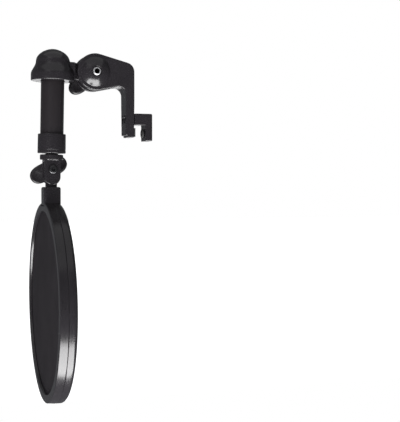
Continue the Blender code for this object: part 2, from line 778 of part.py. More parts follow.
def front_ring_profile():
    edge = LIP_EDGE
    seam = SEAM_EDGE
    outer = RIM_RADIUS
    return [
        (outer - seam, -SEAM_HALF),
        (outer, -SEAM_HALF - seam),
        (outer, -RIM_HALF + edge),
        (outer - edge, -RIM_HALF),
        (LIP_INNER + edge, -RIM_HALF),
        (LIP_INNER, -RIM_HALF + edge),
        (LIP_INNER, -SEAT_HALF),
        (outer - RIM_WALL, -SEAT_HALF),
        (outer - RIM_WALL, -SEAM_HALF),
    ]


def frame_ring_profile():
    edge = LIP_EDGE
    seam = SEAM_EDGE
    outer = RIM_RADIUS
    back = arc((outer - RIM_WALL, RIM_HALF - RIM_WALL), RIM_WALL, 90, 0, 3)
    return (
        [(LIP_INNER + edge, RIM_HALF)]
        + back
        + [
            (outer, SEAM_HALF + seam),
            (outer - seam, SEAM_HALF),
            (outer - RIM_WALL, SEAM_HALF),
            (outer - RIM_WALL, SEAT_HALF),
            (LIP_INNER, SEAT_HALF),
            (LIP_INNER, RIM_HALF - edge),
        ]
    )


def make_hoop(owner):
    centre = (HOOP_X, 0, HOOP_Z)
    foot = HOOP_Z + RIM_RADIUS - RIM_WALL + 0.2 * MM
    frame = turned(frame_ring_profile(), "X", centre, RIM_STEPS, ring=True)
    neck = box(
        (HOOP_X - NECK_HALF_X, -NECK_HALF_Y, foot),
        (HOOP_X + NECK_HALF_X, NECK_HALF_Y, NECK_TOP),
        bevel=NECK_EDGE,
    )
    join(frame, neck)
    at = (0, 0, TENON_BOTTOM + TENON_HEIGHT)
    pocket = box(
        (STEM_X - STEM_HALF - GAP, -LOWER_TONGUE_HALF - GAP, TENON_BOTTOM - GAP),
        (STEM_X + STEM_HALF + GAP, LOWER_TONGUE_HALF + GAP, NECK_TOP + SLICE_OVER),
    )
    face = HOOP_X + NECK_HALF_X
    hole = rod(TENON_SCREW + GAP, HOOP_X - NECK_HALF_X + 1 * MM, face + SLICE_OVER, "X", at, 12)
    recess = rod(TENON_HEAD + GAP, face - TENON_RECESS, face + SLICE_OVER, "X", at, 16)
    cut(frame, pocket, hole, recess)
    finish(frame, "hoop_frame", PLASTIC, owner)

    ring = turned(front_ring_profile(), "X", centre, RIM_STEPS, ring=True)
    notch = box(
        (HOOP_X - 10 * MM, -NECK_HALF_Y - GAP, foot - GAP),
        (HOOP_X + 10 * MM, NECK_HALF_Y + GAP, NECK_TOP),
    )
    cut(ring, notch)
    finish(ring, "hoop_front_ring", PLASTIC, owner)

    screen = RIM_RADIUS - RIM_WALL - GAP
    far = SEAT_HALF - GAP
    near = far - FABRIC_THICK
    finish(rod(screen, -far, -near, "X", centre, RIM_STEPS), "front_mesh", FABRIC, owner)
    finish(rod(screen, near, far, "X", centre, RIM_STEPS), "rear_mesh", FABRIC, owner)
    spacer = washer(LIP_INNER + 0.6 * MM, screen, -near + GAP, near - GAP, "X", centre, RIM_STEPS)
    finish(spacer, "mesh_spacer", PLASTIC, owner)


def make_pop_filter():
    bracket = body("bracket_body", (0, 0, 0))
    clamp = body("clamp_axis", (0, 0, CLAMP_Z), bracket)
    upper_knob = body("upper_knob_axis", (HINGE_X, 0, HINGE_Z), bracket)
    arm = body("upper_tilt_axis", (HINGE_X, 0, HINGE_Z), bracket)
    swivel = body("swivel_axis", (TUBE_X, 0, FLANGE_TOP), arm)
    lower_knob = body("lower_knob_axis", (TUBE_X, 0, PIVOT_Z), swivel)
    hoop = body("lower_tilt_axis", (TUBE_X, 0, PIVOT_Z), swivel)

    make_bracket(bracket)
    make_clip(bracket, clamp)
    make_upper_hinge(bracket)
    make_knob("upper", upper_knob, (HINGE_X, HINGE_Z), UPPER_KNOB)
    make_elbow_cap(arm)
    make_tube(arm)
    make_fork(swivel)
    make_knob("lower", lower_knob, (TUBE_X, PIVOT_Z), LOWER_KNOB)
    make_tongue(hoop)
    make_hoop(hoop)

    arm.empty.rotation_euler = (0, ARM_LEAN, 0)
    hoop.empty.rotation_euler = (0, -ARM_LEAN, 0)


make_pop_filter()
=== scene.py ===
"""The looks of a studio pop filter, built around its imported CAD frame.

28 of the 34 CAD nodes are rebuilt in finer meshes, each where its node lies. Such a piece rides
on the same body and stands for that node. The other six are small or hidden and keep their
mesh. Metres, +Z up, the hoop on the -X side, the knobs at +Y.
"""

import json
import math

import bmesh
import bpy
from mathutils import Matrix, Vector, noise


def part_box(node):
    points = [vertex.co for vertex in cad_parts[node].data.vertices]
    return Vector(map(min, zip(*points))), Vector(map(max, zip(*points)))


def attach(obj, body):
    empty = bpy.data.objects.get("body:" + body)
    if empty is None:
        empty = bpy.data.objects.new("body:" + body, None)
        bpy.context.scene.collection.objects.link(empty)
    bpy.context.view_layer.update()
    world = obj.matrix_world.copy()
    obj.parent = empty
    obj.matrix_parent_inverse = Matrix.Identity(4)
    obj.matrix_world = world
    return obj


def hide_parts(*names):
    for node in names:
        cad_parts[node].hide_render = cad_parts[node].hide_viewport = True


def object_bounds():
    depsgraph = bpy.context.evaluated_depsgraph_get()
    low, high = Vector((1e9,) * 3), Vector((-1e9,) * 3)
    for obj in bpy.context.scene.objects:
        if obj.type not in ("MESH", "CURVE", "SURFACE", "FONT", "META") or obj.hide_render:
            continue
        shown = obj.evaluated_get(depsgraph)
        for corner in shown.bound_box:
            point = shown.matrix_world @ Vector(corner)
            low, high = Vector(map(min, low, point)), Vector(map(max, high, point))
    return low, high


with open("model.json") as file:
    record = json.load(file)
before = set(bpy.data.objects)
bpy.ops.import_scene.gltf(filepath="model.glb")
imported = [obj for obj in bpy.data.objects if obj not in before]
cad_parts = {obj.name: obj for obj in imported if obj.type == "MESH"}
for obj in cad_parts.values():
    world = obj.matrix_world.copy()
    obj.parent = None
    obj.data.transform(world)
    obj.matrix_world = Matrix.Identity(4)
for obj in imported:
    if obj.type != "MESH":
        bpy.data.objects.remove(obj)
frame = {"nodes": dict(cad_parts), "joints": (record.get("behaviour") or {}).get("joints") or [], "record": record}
CAD_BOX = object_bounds()

MM = 0.001
GAP = 0.3 * MM  # clearance round a screw, a nut, a tenon or the tube
MERGE = 0.00001  # vertices closer than this are one
OVER = 1 * MM  # how far a cutter reaches past the face that it opens
SHARP_ANGLE = math.radians(32)  # a crisp piece's edges over this stay sharp
UPPER_BOLT_RADIUS = 2.5 * MM
LOWER_BOLT_RADIUS = 2 * MM
SCREW_RADIUS = 1.5 * MM
CROSS_SCREW_RADIUS = 1 * MM  # of the screw through the tongue's tenon
STUD_RADIUS = 4 * MM  # of the stud that the fork turns on

RECORD = frame["record"]
BODY_OF = {n: body for body, nodes in RECORD["behaviour"]["bodies"].items() for n in nodes}
SLOT_OF = {part["node"]: part["material_slot"] for part in RECORD["subparts"]}
JOINTS = {joint["name"]: joint for joint in frame["joints"]}

# The drop arm leans about its hinge. What it carries is built upright, and then leaned.
HINGE = Vector(JOINTS["upper_tilt"]["pos_m"])
SWIVEL_AXIS = Vector(JOINTS["fork_swivel"]["axis"])
LEAN_ANGLE = math.atan2(SWIVEL_AXIS.x, SWIVEL_AXIS.z)
LEAN = (
    Matrix.Translation(HINGE)
    @ Matrix.Rotation(LEAN_ANGLE, 4, "Y")
    @ Matrix.Translation(-HINGE)
)
UPRIGHT = LEAN.inverted()
LEANING = ("drop_arm", "swivel", "lower_knob")
PIVOT = Vector(JOINTS["lower_tilt"]["pos_m"])  # where it is in the world
PIVOT_UP = UPRIGHT @ PIVOT  # as the upright arm has it
FLANGE_TOP = UPRIGHT @ Vector(JOINTS["fork_swivel"]["pos_m"])
TUBE_X = FLANGE_TOP.x
HOOP = sum(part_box("rear_mesh"), Vector()) / 2
HOOP.x = sum(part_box("mesh_spacer"), Vector()).x / 2
STEM_X = (PIVOT.x + HOOP.x) / 2


def upright_box(node):
    """A leaning node's lowest and highest corners, as the upright arm has them."""
    corners = [UPRIGHT @ vertex.co for vertex in frame["nodes"][node].data.vertices]
    low = Vector([min(corner[i] for corner in corners) for i in range(3)])
    return low, Vector([max(corner[i] for corner in corners) for i in range(3)])


def own_box(node):
    """A node's lowest and highest corners, as it is built."""
    return upright_box(node) if BODY_OF[node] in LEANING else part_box(node)


# Mesh tools


def place(axis, at):
    """The matrix that lays a shape's own Z along a world axis, at a point."""
    turn = {"X": (math.pi / 2, "Y"), "Y": (-math.pi / 2, "X"), "Z": (0, "Z")}[axis]
    return Matrix.Translation(at) @ Matrix.Rotation(turn[0], 4, turn[1])


def new_object(name, mesh):
    obj = bpy.data.objects.new(name, mesh)
    bpy.context.scene.collection.objects.link(obj)
    return obj


def from_bmesh(name, shape, matrix=None):
    """An object from a bmesh, which is freed, with its faces turned outwards."""
    bmesh.ops.recalc_face_normals(shape, faces=shape.faces)
    if matrix:
        bmesh.ops.transform(shape, matrix=matrix, verts=shape.verts)
    mesh = bpy.data.meshes.new(name)
    shape.to_mesh(mesh)
    shape.free()
    return new_object(name, mesh)


def evaluated_mesh(obj):
    """A copy of an object's mesh with its modifiers applied."""
    bpy.context.view_layer.update()
    depsgraph = bpy.context.evaluated_depsgraph_get()
    return bpy.data.meshes.new_from_object(obj.evaluated_get(depsgraph))


def bake(obj):
    """Applies an object's modifiers to its mesh."""
    mesh = evaluated_mesh(obj)
    obj.modifiers.clear()
    obj.data = mesh


def lathe(profile, axis, at, steps=96, ring=False):
    """A turned piece from (radius, height) points. A ring's profile closes on itself."""
    shape = bmesh.new()
    rows = []
    for radius, height in profile:
        if radius < MERGE:
            rows.append([shape.verts.new((0, 0, height))])
            continue
        row = []
        for k in range(steps):
            t = 2 * math.pi * k / steps
            row.append(shape.verts.new((radius * math.cos(t), radius * math.sin(t), height)))
        rows.append(row)
    pairs = list(zip(rows, rows[1:]))
    if ring:
        pairs.append((rows[-1], rows[0]))
    for above, below in pairs:
        for i in range(steps):
            k = (i + 1) % steps
            up, down = len(above), len(below)
            corners = [above[i % up], below[i % down], below[k % down], above[k % up]]
            shape.faces.new(list(dict.fromkeys(corners)))
    return from_bmesh("turned", shape, place(axis, at))


def rod(radius, start, end, axis, at, sides=64):
    """A round or many-sided rod between two heights on its axis."""
    return lathe([(0, end), (radius, end), (radius, start), (0, start)], axis, at, sides)


def box(low, high, edge=0.0, segments=4):
    """A box between two corners, with rounded edges."""
    low, high = Vector(low), Vector(high)
    shape = bmesh.new()
    bmesh.ops.create_cube(shape, size=1.0)
    bmesh.ops.scale(shape, vec=high - low, verts=shape.verts)
    bmesh.ops.translate(shape, vec=(low + high) / 2, verts=shape.verts)
    obj = from_bmesh("box", shape)
    if edge:
        bevel = obj.modifiers.new("Bevel", "BEVEL")
        bevel.width = edge
        bevel.segments = segments
        bake(obj)
    return obj


def arc(centre, radius, start, end, count):
    """Points on an arc in degrees, both ends included."""
    turns = [math.radians(start + (end - start) * k / count) for k in range(count + 1)]
    return [(centre[0] + radius * math.cos(t), centre[1] + radius * math.sin(t)) for t in turns]


def rounded(corners, count=8):
    """An outline or profile whose corners (x, z, radius) are rounded by arcs."""
    outline = []
    for i, (x, z, radius) in enumerate(corners):
        here = Vector((x, z))
        if not radius:
            outline.append((x, z))
            continue
        back = (Vector(corners[i - 1][:2]) - here).normalized()
        ahead = (Vector(corners[(i + 1) % len(corners)][:2]) - here).normalized()
        half = back.angle(ahead) / 2
        middle = here + (back + ahead).normalized() * radius / math.sin(half)
        first = (here + back * radius / math.tan(half) - middle).normalized()
        last = (here + ahead * radius / math.tan(half) - middle).normalized()
        for k in range(count + 1):
            outline.append(tuple(middle + first.slerp(last, k / count) * radius))
    return outline


def slab(outline, low_y, high_y, edge=0.0):
    """A flat piece with its outline in the XZ plane and its edges rounded."""
    curve = bpy.data.curves.new("outline", "CURVE")
    curve.dimensions = "2D"
    curve.fill_mode = "BOTH"
    curve.extrude = (high_y - low_y) / 2 - edge
    curve.bevel_depth = edge
    curve.offset = -edge
    curve.bevel_resolution = 3
    spline = curve.splines.new("POLY")
    spline.points.add(len(outline) - 1)
    for point, (x, z) in zip(spline.points, outline):
        point.co = (x, z, 0, 1)
    spline.use_cyclic_u = True
    flat = new_object("outline", curve)
    shape = bmesh.new()
    shape.from_mesh(evaluated_mesh(flat))
    bpy.data.objects.remove(flat)
    bmesh.ops.remove_doubles(shape, verts=shape.verts, dist=MERGE)
    stand = Matrix.Translation((0, (low_y + high_y) / 2, 0)) @ Matrix.Rotation(math.pi / 2, 4, "X")
    return from_bmesh("slab", shape, stand)


def boolean(obj, others, operation):
    """Joins the others to an object or cuts them from it, one after the other."""
    for other in others:
        modifier = obj.modifiers.new(operation.title(), "BOOLEAN")
        modifier.operation = operation
        modifier.solver = "EXACT"
        modifier.object = other
    bake(obj)


def discard(objects):
    for obj in objects:
        bpy.data.objects.remove(obj)


def machined(solid, cutters=(), added=()):
    """A crisp piece: what is added is joined, the cutters are cut, and its edges stay sharp."""
    if added:
        boolean(solid, added, "UNION")
    if cutters:
        boolean(solid, cutters, "DIFFERENCE")
    discard([*cutters, *added])
    solid.data.shade_smooth()
    solid.data.set_sharp_from_angle(angle=SHARP_ANGLE)
    return solid


def moulded(solids, cutters, voxel, passes):
    """A moulded piece: its solids run together, and every edge and inner corner is softened."""
    whole = bmesh.new()
    for solid in solids:
        boolean(solid, cutters, "DIFFERENCE")
        whole.from_mesh(solid.data)
    discard([*solids, *cutters])
    piece = from_bmesh("moulded", whole)
    remesh = piece.modifiers.new("Remesh", "REMESH")
    remesh.mode = "VOXEL"
    remesh.voxel_size = voxel
    smooth = piece.modifiers.new("Smooth", "SMOOTH")
    smooth.factor = 0.5
    smooth.iterations = passes
    bake(piece)
    piece.data.shade_smooth()
    return piece


# Materials


class Graph:
    """A procedural material on a Principled shader, textured in the frame's own coordinates."""

    def __init__(self, name, colour, roughness, metallic=0.0, **sockets):
        self.material = bpy.data.materials.new(name)
        self.material.use_nodes = True
        self.tree = self.material.node_tree
        self.shader = self.tree.nodes["Principled BSDF"]
        self.shader.inputs["Base Color"].default_value = (*colour, 1)
        self.shader.inputs["Roughness"].default_value = roughness
        self.shader.inputs["Metallic"].default_value = metallic
        for socket, value in sockets.items():
            self.shader.inputs[socket.replace("_", " ")].default_value = value
        self.colour = colour
        self.roughness = roughness
        self.where = self.node("TexCoord").outputs["Object"]
        self.shown = None
        self.dullness = None
        self.relief = None

    def node(self, kind, **values):
        made = self.tree.nodes.new("ShaderNode" + kind)
        for key, value in values.items():
            setattr(made, key, value)
        return made

    def link(self, source, target):
        self.tree.links.new(source, target)

    def stretched(self, scale):
        """The coordinates, scaled apart along X, Y and Z."""
        mapping = self.node("Mapping")
        mapping.inputs["Scale"].default_value = scale
        self.link(self.where, mapping.inputs["Vector"])
        return mapping.outputs["Vector"]

    def noise(self, size, detail=3.0, rough=0.55, scale=None):
        """Noise whose features are about that size in metres."""
        made = self.node("TexNoise")
        made.inputs["Scale"].default_value = 1 / size
        made.inputs["Detail"].default_value = detail
        made.inputs["Roughness"].default_value = rough
        self.link(self.stretched(scale) if scale else self.where, made.inputs["Vector"])
        return made.outputs["Fac"]

    def remap(self, source, from_low, from_high, to_low, to_high, smooth=False):
        """Maps a texture's range to another one, and cuts off what lies outside."""
        made = self.node("MapRange", clamp=True)
        if smooth:
            made.interpolation_type = "SMOOTHSTEP"
        ends = {"From Min": from_low, "From Max": from_high, "To Min": to_low, "To Max": to_high}
        for key, value in ends.items():
            made.inputs[key].default_value = value
        self.link(source, made.inputs["Value"])
        return made.outputs["Result"]

    def maths(self, operation, *values):
        """One sum on numbers and node outputs."""
        made = self.node("Math", operation=operation)
        for socket, value in zip(made.inputs, values):
            if isinstance(value, float):
                socket.default_value = value
            else:
                self.link(value, socket)
        return made.outputs[0]

    def tint(self, share, colour):
        """Mixes a colour in by a texture's share."""
        made = self.node("Mix", data_type="RGBA")
        factor, low, high = made.inputs[0], made.inputs[6], made.inputs[7]
        self.link(share, factor)
        if self.shown is None:
            low.default_value = (*self.colour, 1)
        else:
            self.link(self.shown, low)
        high.default_value = (*colour, 1)
        self.shown = made.outputs[2]
        self.link(self.shown, self.shader.inputs["Base Color"])

    def dull(self, share, roughness):
        """Moves the roughness towards another by a texture's share."""
        made = self.node("Mix", data_type="FLOAT")
        self.link(share, made.inputs[0])
        if self.dullness is None:
            made.inputs[2].default_value = self.roughness
        else:
            self.link(self.dullness, made.inputs[2])
        made.inputs[3].default_value = roughness
        self.dullness = made.outputs[0]
        self.link(self.dullness, self.shader.inputs["Roughness"])

    def split(self, source):
        """A vector's X, Y and Z."""
        made = self.node("SeparateXYZ")
        self.link(source, made.inputs[0])
        return made.outputs

    def bump(self, height, depth, strength):
        """Relief from a texture, on top of the relief so far."""
        made = self.node("Bump")
        made.inputs["Strength"].default_value = strength
        made.inputs["Distance"].default_value = depth
        self.link(height, made.inputs["Height"])
        if self.relief is not None:
            self.link(self.relief, made.inputs["Normal"])
        self.relief = made.outputs["Normal"]
        self.link(self.relief, self.shader.inputs["Normal"])

    def worn(self, colour, roughness):
        """Rubs the outer edges lighter and smoother, in patches."""
        pointiness = self.node("NewGeometry").outputs["Pointiness"]
        edge = self.remap(pointiness, 0.53, 0.62, 0, 1, True)
        patches = self.remap(self.noise(6 * MM, 5), 0.42, 0.6, 0.15, 1)
        share = self.maths("MULTIPLY", edge, patches)
        self.tint(share, colour)
        self.dull(share, roughness)

    def dusted(self, colour, amount):
        """A thin film of dust on what faces up."""
        normal = self.split(self.node("NewGeometry").outputs["Normal"])
        up = self.remap(normal["Z"], 0.55, 1.0, 0, amount, True)
        patches = self.remap(self.noise(9 * MM, 6, 0.65), 0.4, 0.65, 0.2, 1)
        share = self.maths("MULTIPLY", up, patches)
        self.tint(share, colour)
        self.dull(share, 0.8)


def make_plastic(name, colour, roughness, grain):
    """Moulded plastic: cloudy tone and sheen, hairline scratches, worn edges, dust and grain."""
    look = Graph(name, colour, roughness, IOR=1.46)
    look.tint(look.remap(look.noise(14 * MM, 5), 0.35, 0.7, 0, 0.5), [c * 1.35 for c in colour])
    look.dull(look.remap(look.noise(5 * MM, 6, 0.6), 0.45, 0.75, 0, 0.4), roughness + 0.07)
    hairlines = look.noise(1.2 * MM, 2, 0.5, (0.12, 0.12, 2.2))
    look.dull(look.remap(hairlines, 0.68, 0.74, 0, 0.45), roughness + 0.2)
    look.worn([c * 1.8 for c in colour], roughness - 0.04)
    look.dusted((0.11, 0.105, 0.1), 0.07)
    look.bump(look.noise(0.55 * MM, 3, 0.6), 0.03 * MM, grain)
    look.bump(look.noise(11 * MM, 2), 0.12 * MM, 0.07)
    return look.material


def make_paint():
    """Satin paint on a tube: rubbed along its length, with a few light scuffs."""
    look = Graph("satin_black_paint", (0.0064, 0.0056, 0.0064), 0.3, IOR=1.5)
    look.tint(look.remap(look.noise(30 * MM, 4), 0.35, 0.7, 0, 0.5), (0.0082, 0.0062, 0.0072))
    rubbed = look.noise(1.5 * MM, 3, 0.6, (1, 1, 0.08))
    look.dull(look.remap(rubbed, 0.5, 0.72, 0, 0.8), 0.42)
    scuffs = look.noise(2.5 * MM, 5, 0.7, (1, 1, 2.5))
    look.tint(look.remap(scuffs, 0.71, 0.76, 0, 0.35), (0.09, 0.088, 0.09))
    look.worn((0.12, 0.12, 0.125), 0.3)
    look.bump(look.noise(1.6 * MM, 2), 0.04 * MM, 0.25)
    return look.material


COURSE_PITCH = 0.75 * MM
RIB_PITCH = 0.95 * MM


def make_fabric():
    """Knitted gauze: fine courses across, ribs of loops down, and the odd thicker thread."""
    look = Graph("black_gauze", (0.0068, 0.0063, 0.0071), 0.92, IOR=1.45)
    look.shader.inputs["Specular IOR Level"].default_value = 0.04
    where = look.split(look.where)
    course = look.maths("SINE", look.maths("MULTIPLY", where["Z"], 2 * math.pi / COURSE_PITCH))
    rib = look.maths("SINE", look.maths("MULTIPLY", where["Y"], 2 * math.pi / RIB_PITCH))
    weave = look.maths("MULTIPLY", course, rib)
    threads = look.remap(weave, -1, 1, 0, 1)
    look.tint(threads, (0.0168, 0.0153, 0.0174))
    slub_down = look.noise(2.2 * MM, 3, 0.6, (1, 1, 0.05))
    slub_across = look.noise(2.2 * MM, 3, 0.6, (1, 0.05, 1))
    look.tint(look.remap(slub_down, 0.55, 0.75, 0, 0.5), (0.024, 0.0222, 0.0247))
    look.tint(look.remap(slub_across, 0.56, 0.76, 0, 0.4), (0.008, 0.0078, 0.0085))
    look.tint(look.remap(look.noise(24 * MM, 4), 0.4, 0.7, 0, 0.35), (0.0175, 0.0163, 0.018))
    look.bump(weave, 0.07 * MM, 0.55)
    look.bump(slub_down, 0.12 * MM, 0.25)
    return look.material


def make_rubber():
    """Dull rubber, blotchy, dusty and finely pitted."""
    look = Graph("dull_rubber", (0.014, 0.014, 0.014), 0.78)
    look.tint(look.remap(look.noise(3 * MM, 5), 0.4, 0.7, 0, 0.6), (0.026, 0.025, 0.024))
    look.dusted((0.1, 0.1, 0.095), 0.1)
    look.bump(look.noise(0.35 * MM, 3), 0.04 * MM, 0.6)
    return look.material


def make_nylon():
    """Washer stock, a little cloudy."""
    look = Graph("dark_nylon", (0.03, 0.03, 0.032), 0.5)
    look.tint(look.remap(look.noise(2 * MM, 4), 0.4, 0.7, 0, 0.5), (0.05, 0.05, 0.052))
    look.bump(look.noise(0.4 * MM, 2), 0.02 * MM, 0.5)
    return look.material


SOCKET_SHADE_RADIUS = (1.85 * MM, 2.1 * MM)  # where the painted shade in a socket starts to fade, and ends


def make_steel(name, colour, roughness, spots, socket=None):
    """Turned steel with tool marks and dull spots, and painted shade round the Y axis through a socket."""
    look = Graph(name, colour, roughness, 1.0)
    look.tint(look.remap(look.noise(1.1 * MM, 6, 0.65), 0.5, 0.7, 0, 0.7), spots)
    look.dull(look.remap(look.noise(0.6 * MM, 5), 0.4, 0.7, 0, 0.8), roughness + 0.16)
    if socket:
        # Painted shade: the steel is darkened and dulled round the socket's axis, as if its recess lay in shade.
        where = look.split(look.where)
        across = look.maths("SUBTRACT", where["X"], socket.x)
        up = look.maths("SUBTRACT", where["Z"], socket.z)
        squares = [look.maths("POWER", way, 2.0) for way in (across, up)]
        apart = look.maths("SQRT", look.maths("ADD", *squares))
        socket_shade = look.remap(apart, *SOCKET_SHADE_RADIUS, 1, 0)
        look.tint(socket_shade, (0.012, 0.011, 0.012))
        look.dull(socket_shade, 0.85)
    look.bump(look.noise(0.25 * MM, 2, 0.5, (1, 6, 1)), 0.008 * MM, 0.5)
    return look.material


PLASTIC = (0.0074, 0.0066, 0.0077)
KNOB_PLASTIC = (0.008, 0.0072, 0.0083)
BLACK_STEEL, BLACK_STEEL_SPOTS = (0.09, 0.09, 0.094), (0.05, 0.048, 0.047)
BRIGHT_STEEL, BRIGHT_STEEL_SPOTS = (0.66, 0.66, 0.67), (0.46, 0.45, 0.44)

MATERIALS = {
    "black_plastic": make_plastic("black_plastic_moulded", PLASTIC, 0.21, 0.2),
    "knob_plastic": make_plastic("knob_plastic_moulded", KNOB_PLASTIC, 0.33, 0.4),
    "painted_tube": make_paint(),
    "filter_fabric": make_fabric(),
    "rubber": make_rubber(),
    "nylon": make_nylon(),
    "black_steel": make_steel("black_oxide_steel", BLACK_STEEL, 0.32, BLACK_STEEL_SPOTS),
    # The plated steel gets painted shade in the socket of the upper bolt, round the hinge's axis.
    "plated_steel": make_steel(
        "plated_steel_satin", BRIGHT_STEEL, 0.46, BRIGHT_STEEL_SPOTS, HINGE
    ),
}


def stand_for(piece, node):
    """The piece takes a CAD node's place: its body, its slot and its material."""
    piece.name = node + "_detailed"
    piece.data.name = piece.name
    piece.data.materials.clear()
    piece.data.materials.append(MATERIALS[SLOT_OF[node]])
    if BODY_OF[node] in LEANING:
        piece.data.transform(LEAN)
    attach(piece, BODY_OF[node])
    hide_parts(node)


# The bracket and its clip

LEG_THICK = 6.6 * MM
LEG_STEP = 1.5 * MM  # of the notch at the leg's foot
LEG_HALF = 7 * MM  # half the leg's width at its foot
TAPER_TOP = 27 * MM  # where the leg starts to narrow
SIDE_CUT = 10 * MM  # thickness of the cutter that narrows a side
ARM_CORNER = (45.4 * MM, 7 * MM)  # height of the corner over the leg, and its radius
INNER_CORNER = (29.8 * MM, 6 * MM)  # the same where the arm meets the leg's left side
EDGE = 0.9 * MM  # rounding of the bracket's and the jaw's edges
CLEVIS_HALF = 9 * MM
CLEVIS_SLOT_HALF = 4.6 * MM
CLEVIS_DEPTH = 12.8 * MM
BOSS_SPHERE = 14.8 * MM  # radius of the sphere that the boss is a cap of
BOSS_RADIUS = 11 * MM
BOSS_STEPS = 20
UPPER_HEAD_HEIGHT = 2.8 * MM
JAW_SCREW_Y = 3.6 * MM
JAW_SCREW_Z = 4.3 * MM
JAW_SCREW_END = 4.5 * MM  # where the screws' holes end in the jaw
SCREW_HEAD = 2.8 * MM
COUNTERBORE = 2.2 * MM
PAD_RIBS = 5
RIB_GROOVE = 0.35 * MM
PRESSURE_PAD_BORE = 0.9 * MM
THREAD_PITCH = 0.8 * MM
THREAD_DEPTH = 0.25 * MM
THREAD_START = 0.5 * MM  # from each end of the clamp screw
CLAMP_NOSE = 1.5 * MM  # radius of the end that holds the pressure pad
CLAMP_SOCKET = (1.5 * MM, 2.4 * MM)  # its corners' radius, and its depth


def tangent_corner(centre, radius, point, side):
    """Where the line from a point touches a circle, as an angle in degrees."""
    away = Vector(point) - Vector(centre)
    lean = math.degrees(math.acos(radius / away.length))
    return math.degrees(math.atan2(away.y, away.x)) + side * lean


def make_bracket():
    """A plate with a slotted round end for the hinge, a boss, and a leg that narrows."""
    low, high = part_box("bracket")
    right = high.x
    left = right - LEG_THICK
    radius = HINGE.x - low.x
    centre = (HINGE.x, HINGE.z)
    top = tangent_corner(centre, radius, (right, ARM_CORNER[0]), 1)
    bottom = tangent_corner(centre, radius, (left, INNER_CORNER[0]), -1)
    outline = rounded(
        [(x, z, 0) for x, z in arc(centre, radius, top, bottom + 360, 72)]
        + [
            (left, *INNER_CORNER),
            (left, low.z + LEG_STEP, 0),
            (left + LEG_STEP, low.z + LEG_STEP, 0),
            (left + LEG_STEP, low.z, 0),
            (right, low.z, 0),
            (right, *ARM_CORNER),
        ],
        14,
    )
    plate = slab(outline, -CLEVIS_HALF, CLEVIS_HALF, EDGE)
    widest = math.asin(BOSS_RADIUS / BOSS_SPHERE)
    turns = [widest * k / BOSS_STEPS for k in range(BOSS_STEPS + 1)]
    rim = math.cos(widest)
    cap = [(BOSS_SPHERE * math.sin(t), BOSS_SPHERE * (math.cos(t) - rim)) for t in turns]
    boss = lathe(cap + [(BOSS_RADIUS, -OVER), (0, -OVER)], "Y", (0, 0, 0))
    face = Matrix.Translation((HINGE.x, -CLEVIS_HALF, HINGE.z))
    boss.data.transform(face @ Matrix.Rotation(math.pi, 4, "X"))
    boss.data.update()
    bolt_low, bolt_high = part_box("upper_pivot_bolt")
    head = (bolt_high.x - bolt_low.x) / 2
    seat = bolt_low.y + UPPER_HEAD_HEIGHT
    reach = CLEVIS_HALF + BOSS_SPHERE
    cutters = [
        box(
            (HINGE.x - radius - OVER, -CLEVIS_SLOT_HALF, HINGE.z - radius - OVER),
            (HINGE.x + CLEVIS_DEPTH, CLEVIS_SLOT_HALF, HINGE.z + radius + OVER),
        ),
        rod(UPPER_BOLT_RADIUS + GAP, -reach, reach, "Y", HINGE),
        rod(head + GAP, -reach, seat + GAP, "Y", HINGE),
    ]
    taper = math.atan((CLEVIS_HALF - LEG_HALF) / (TAPER_TOP - low.z))
    for way in (-1, 1):
        side_high = (right + OVER, way * SIDE_CUT, TAPER_TOP + OVER)
        side = box((left - OVER, 0, low.z - OVER), side_high)
        foot = Matrix.Translation((0, way * LEG_HALF, low.z))
        tilt = Matrix.Rotation(-way * taper, 4, "X")
        side.data.transform(foot @ tilt @ Matrix.Translation((0, 0, -low.z)))
        cutters.append(side)
        at = (0, way * JAW_SCREW_Y, JAW_SCREW_Z)
        cutters.append(rod(SCREW_RADIUS + GAP, left - OVER, right + OVER, "X", at))
        cutters.append(rod(SCREW_HEAD + GAP, left - OVER, left + COUNTERBORE, "X", at))
    stand_for(moulded([plate, boss], cutters, 0.34 * MM, 7), "bracket")


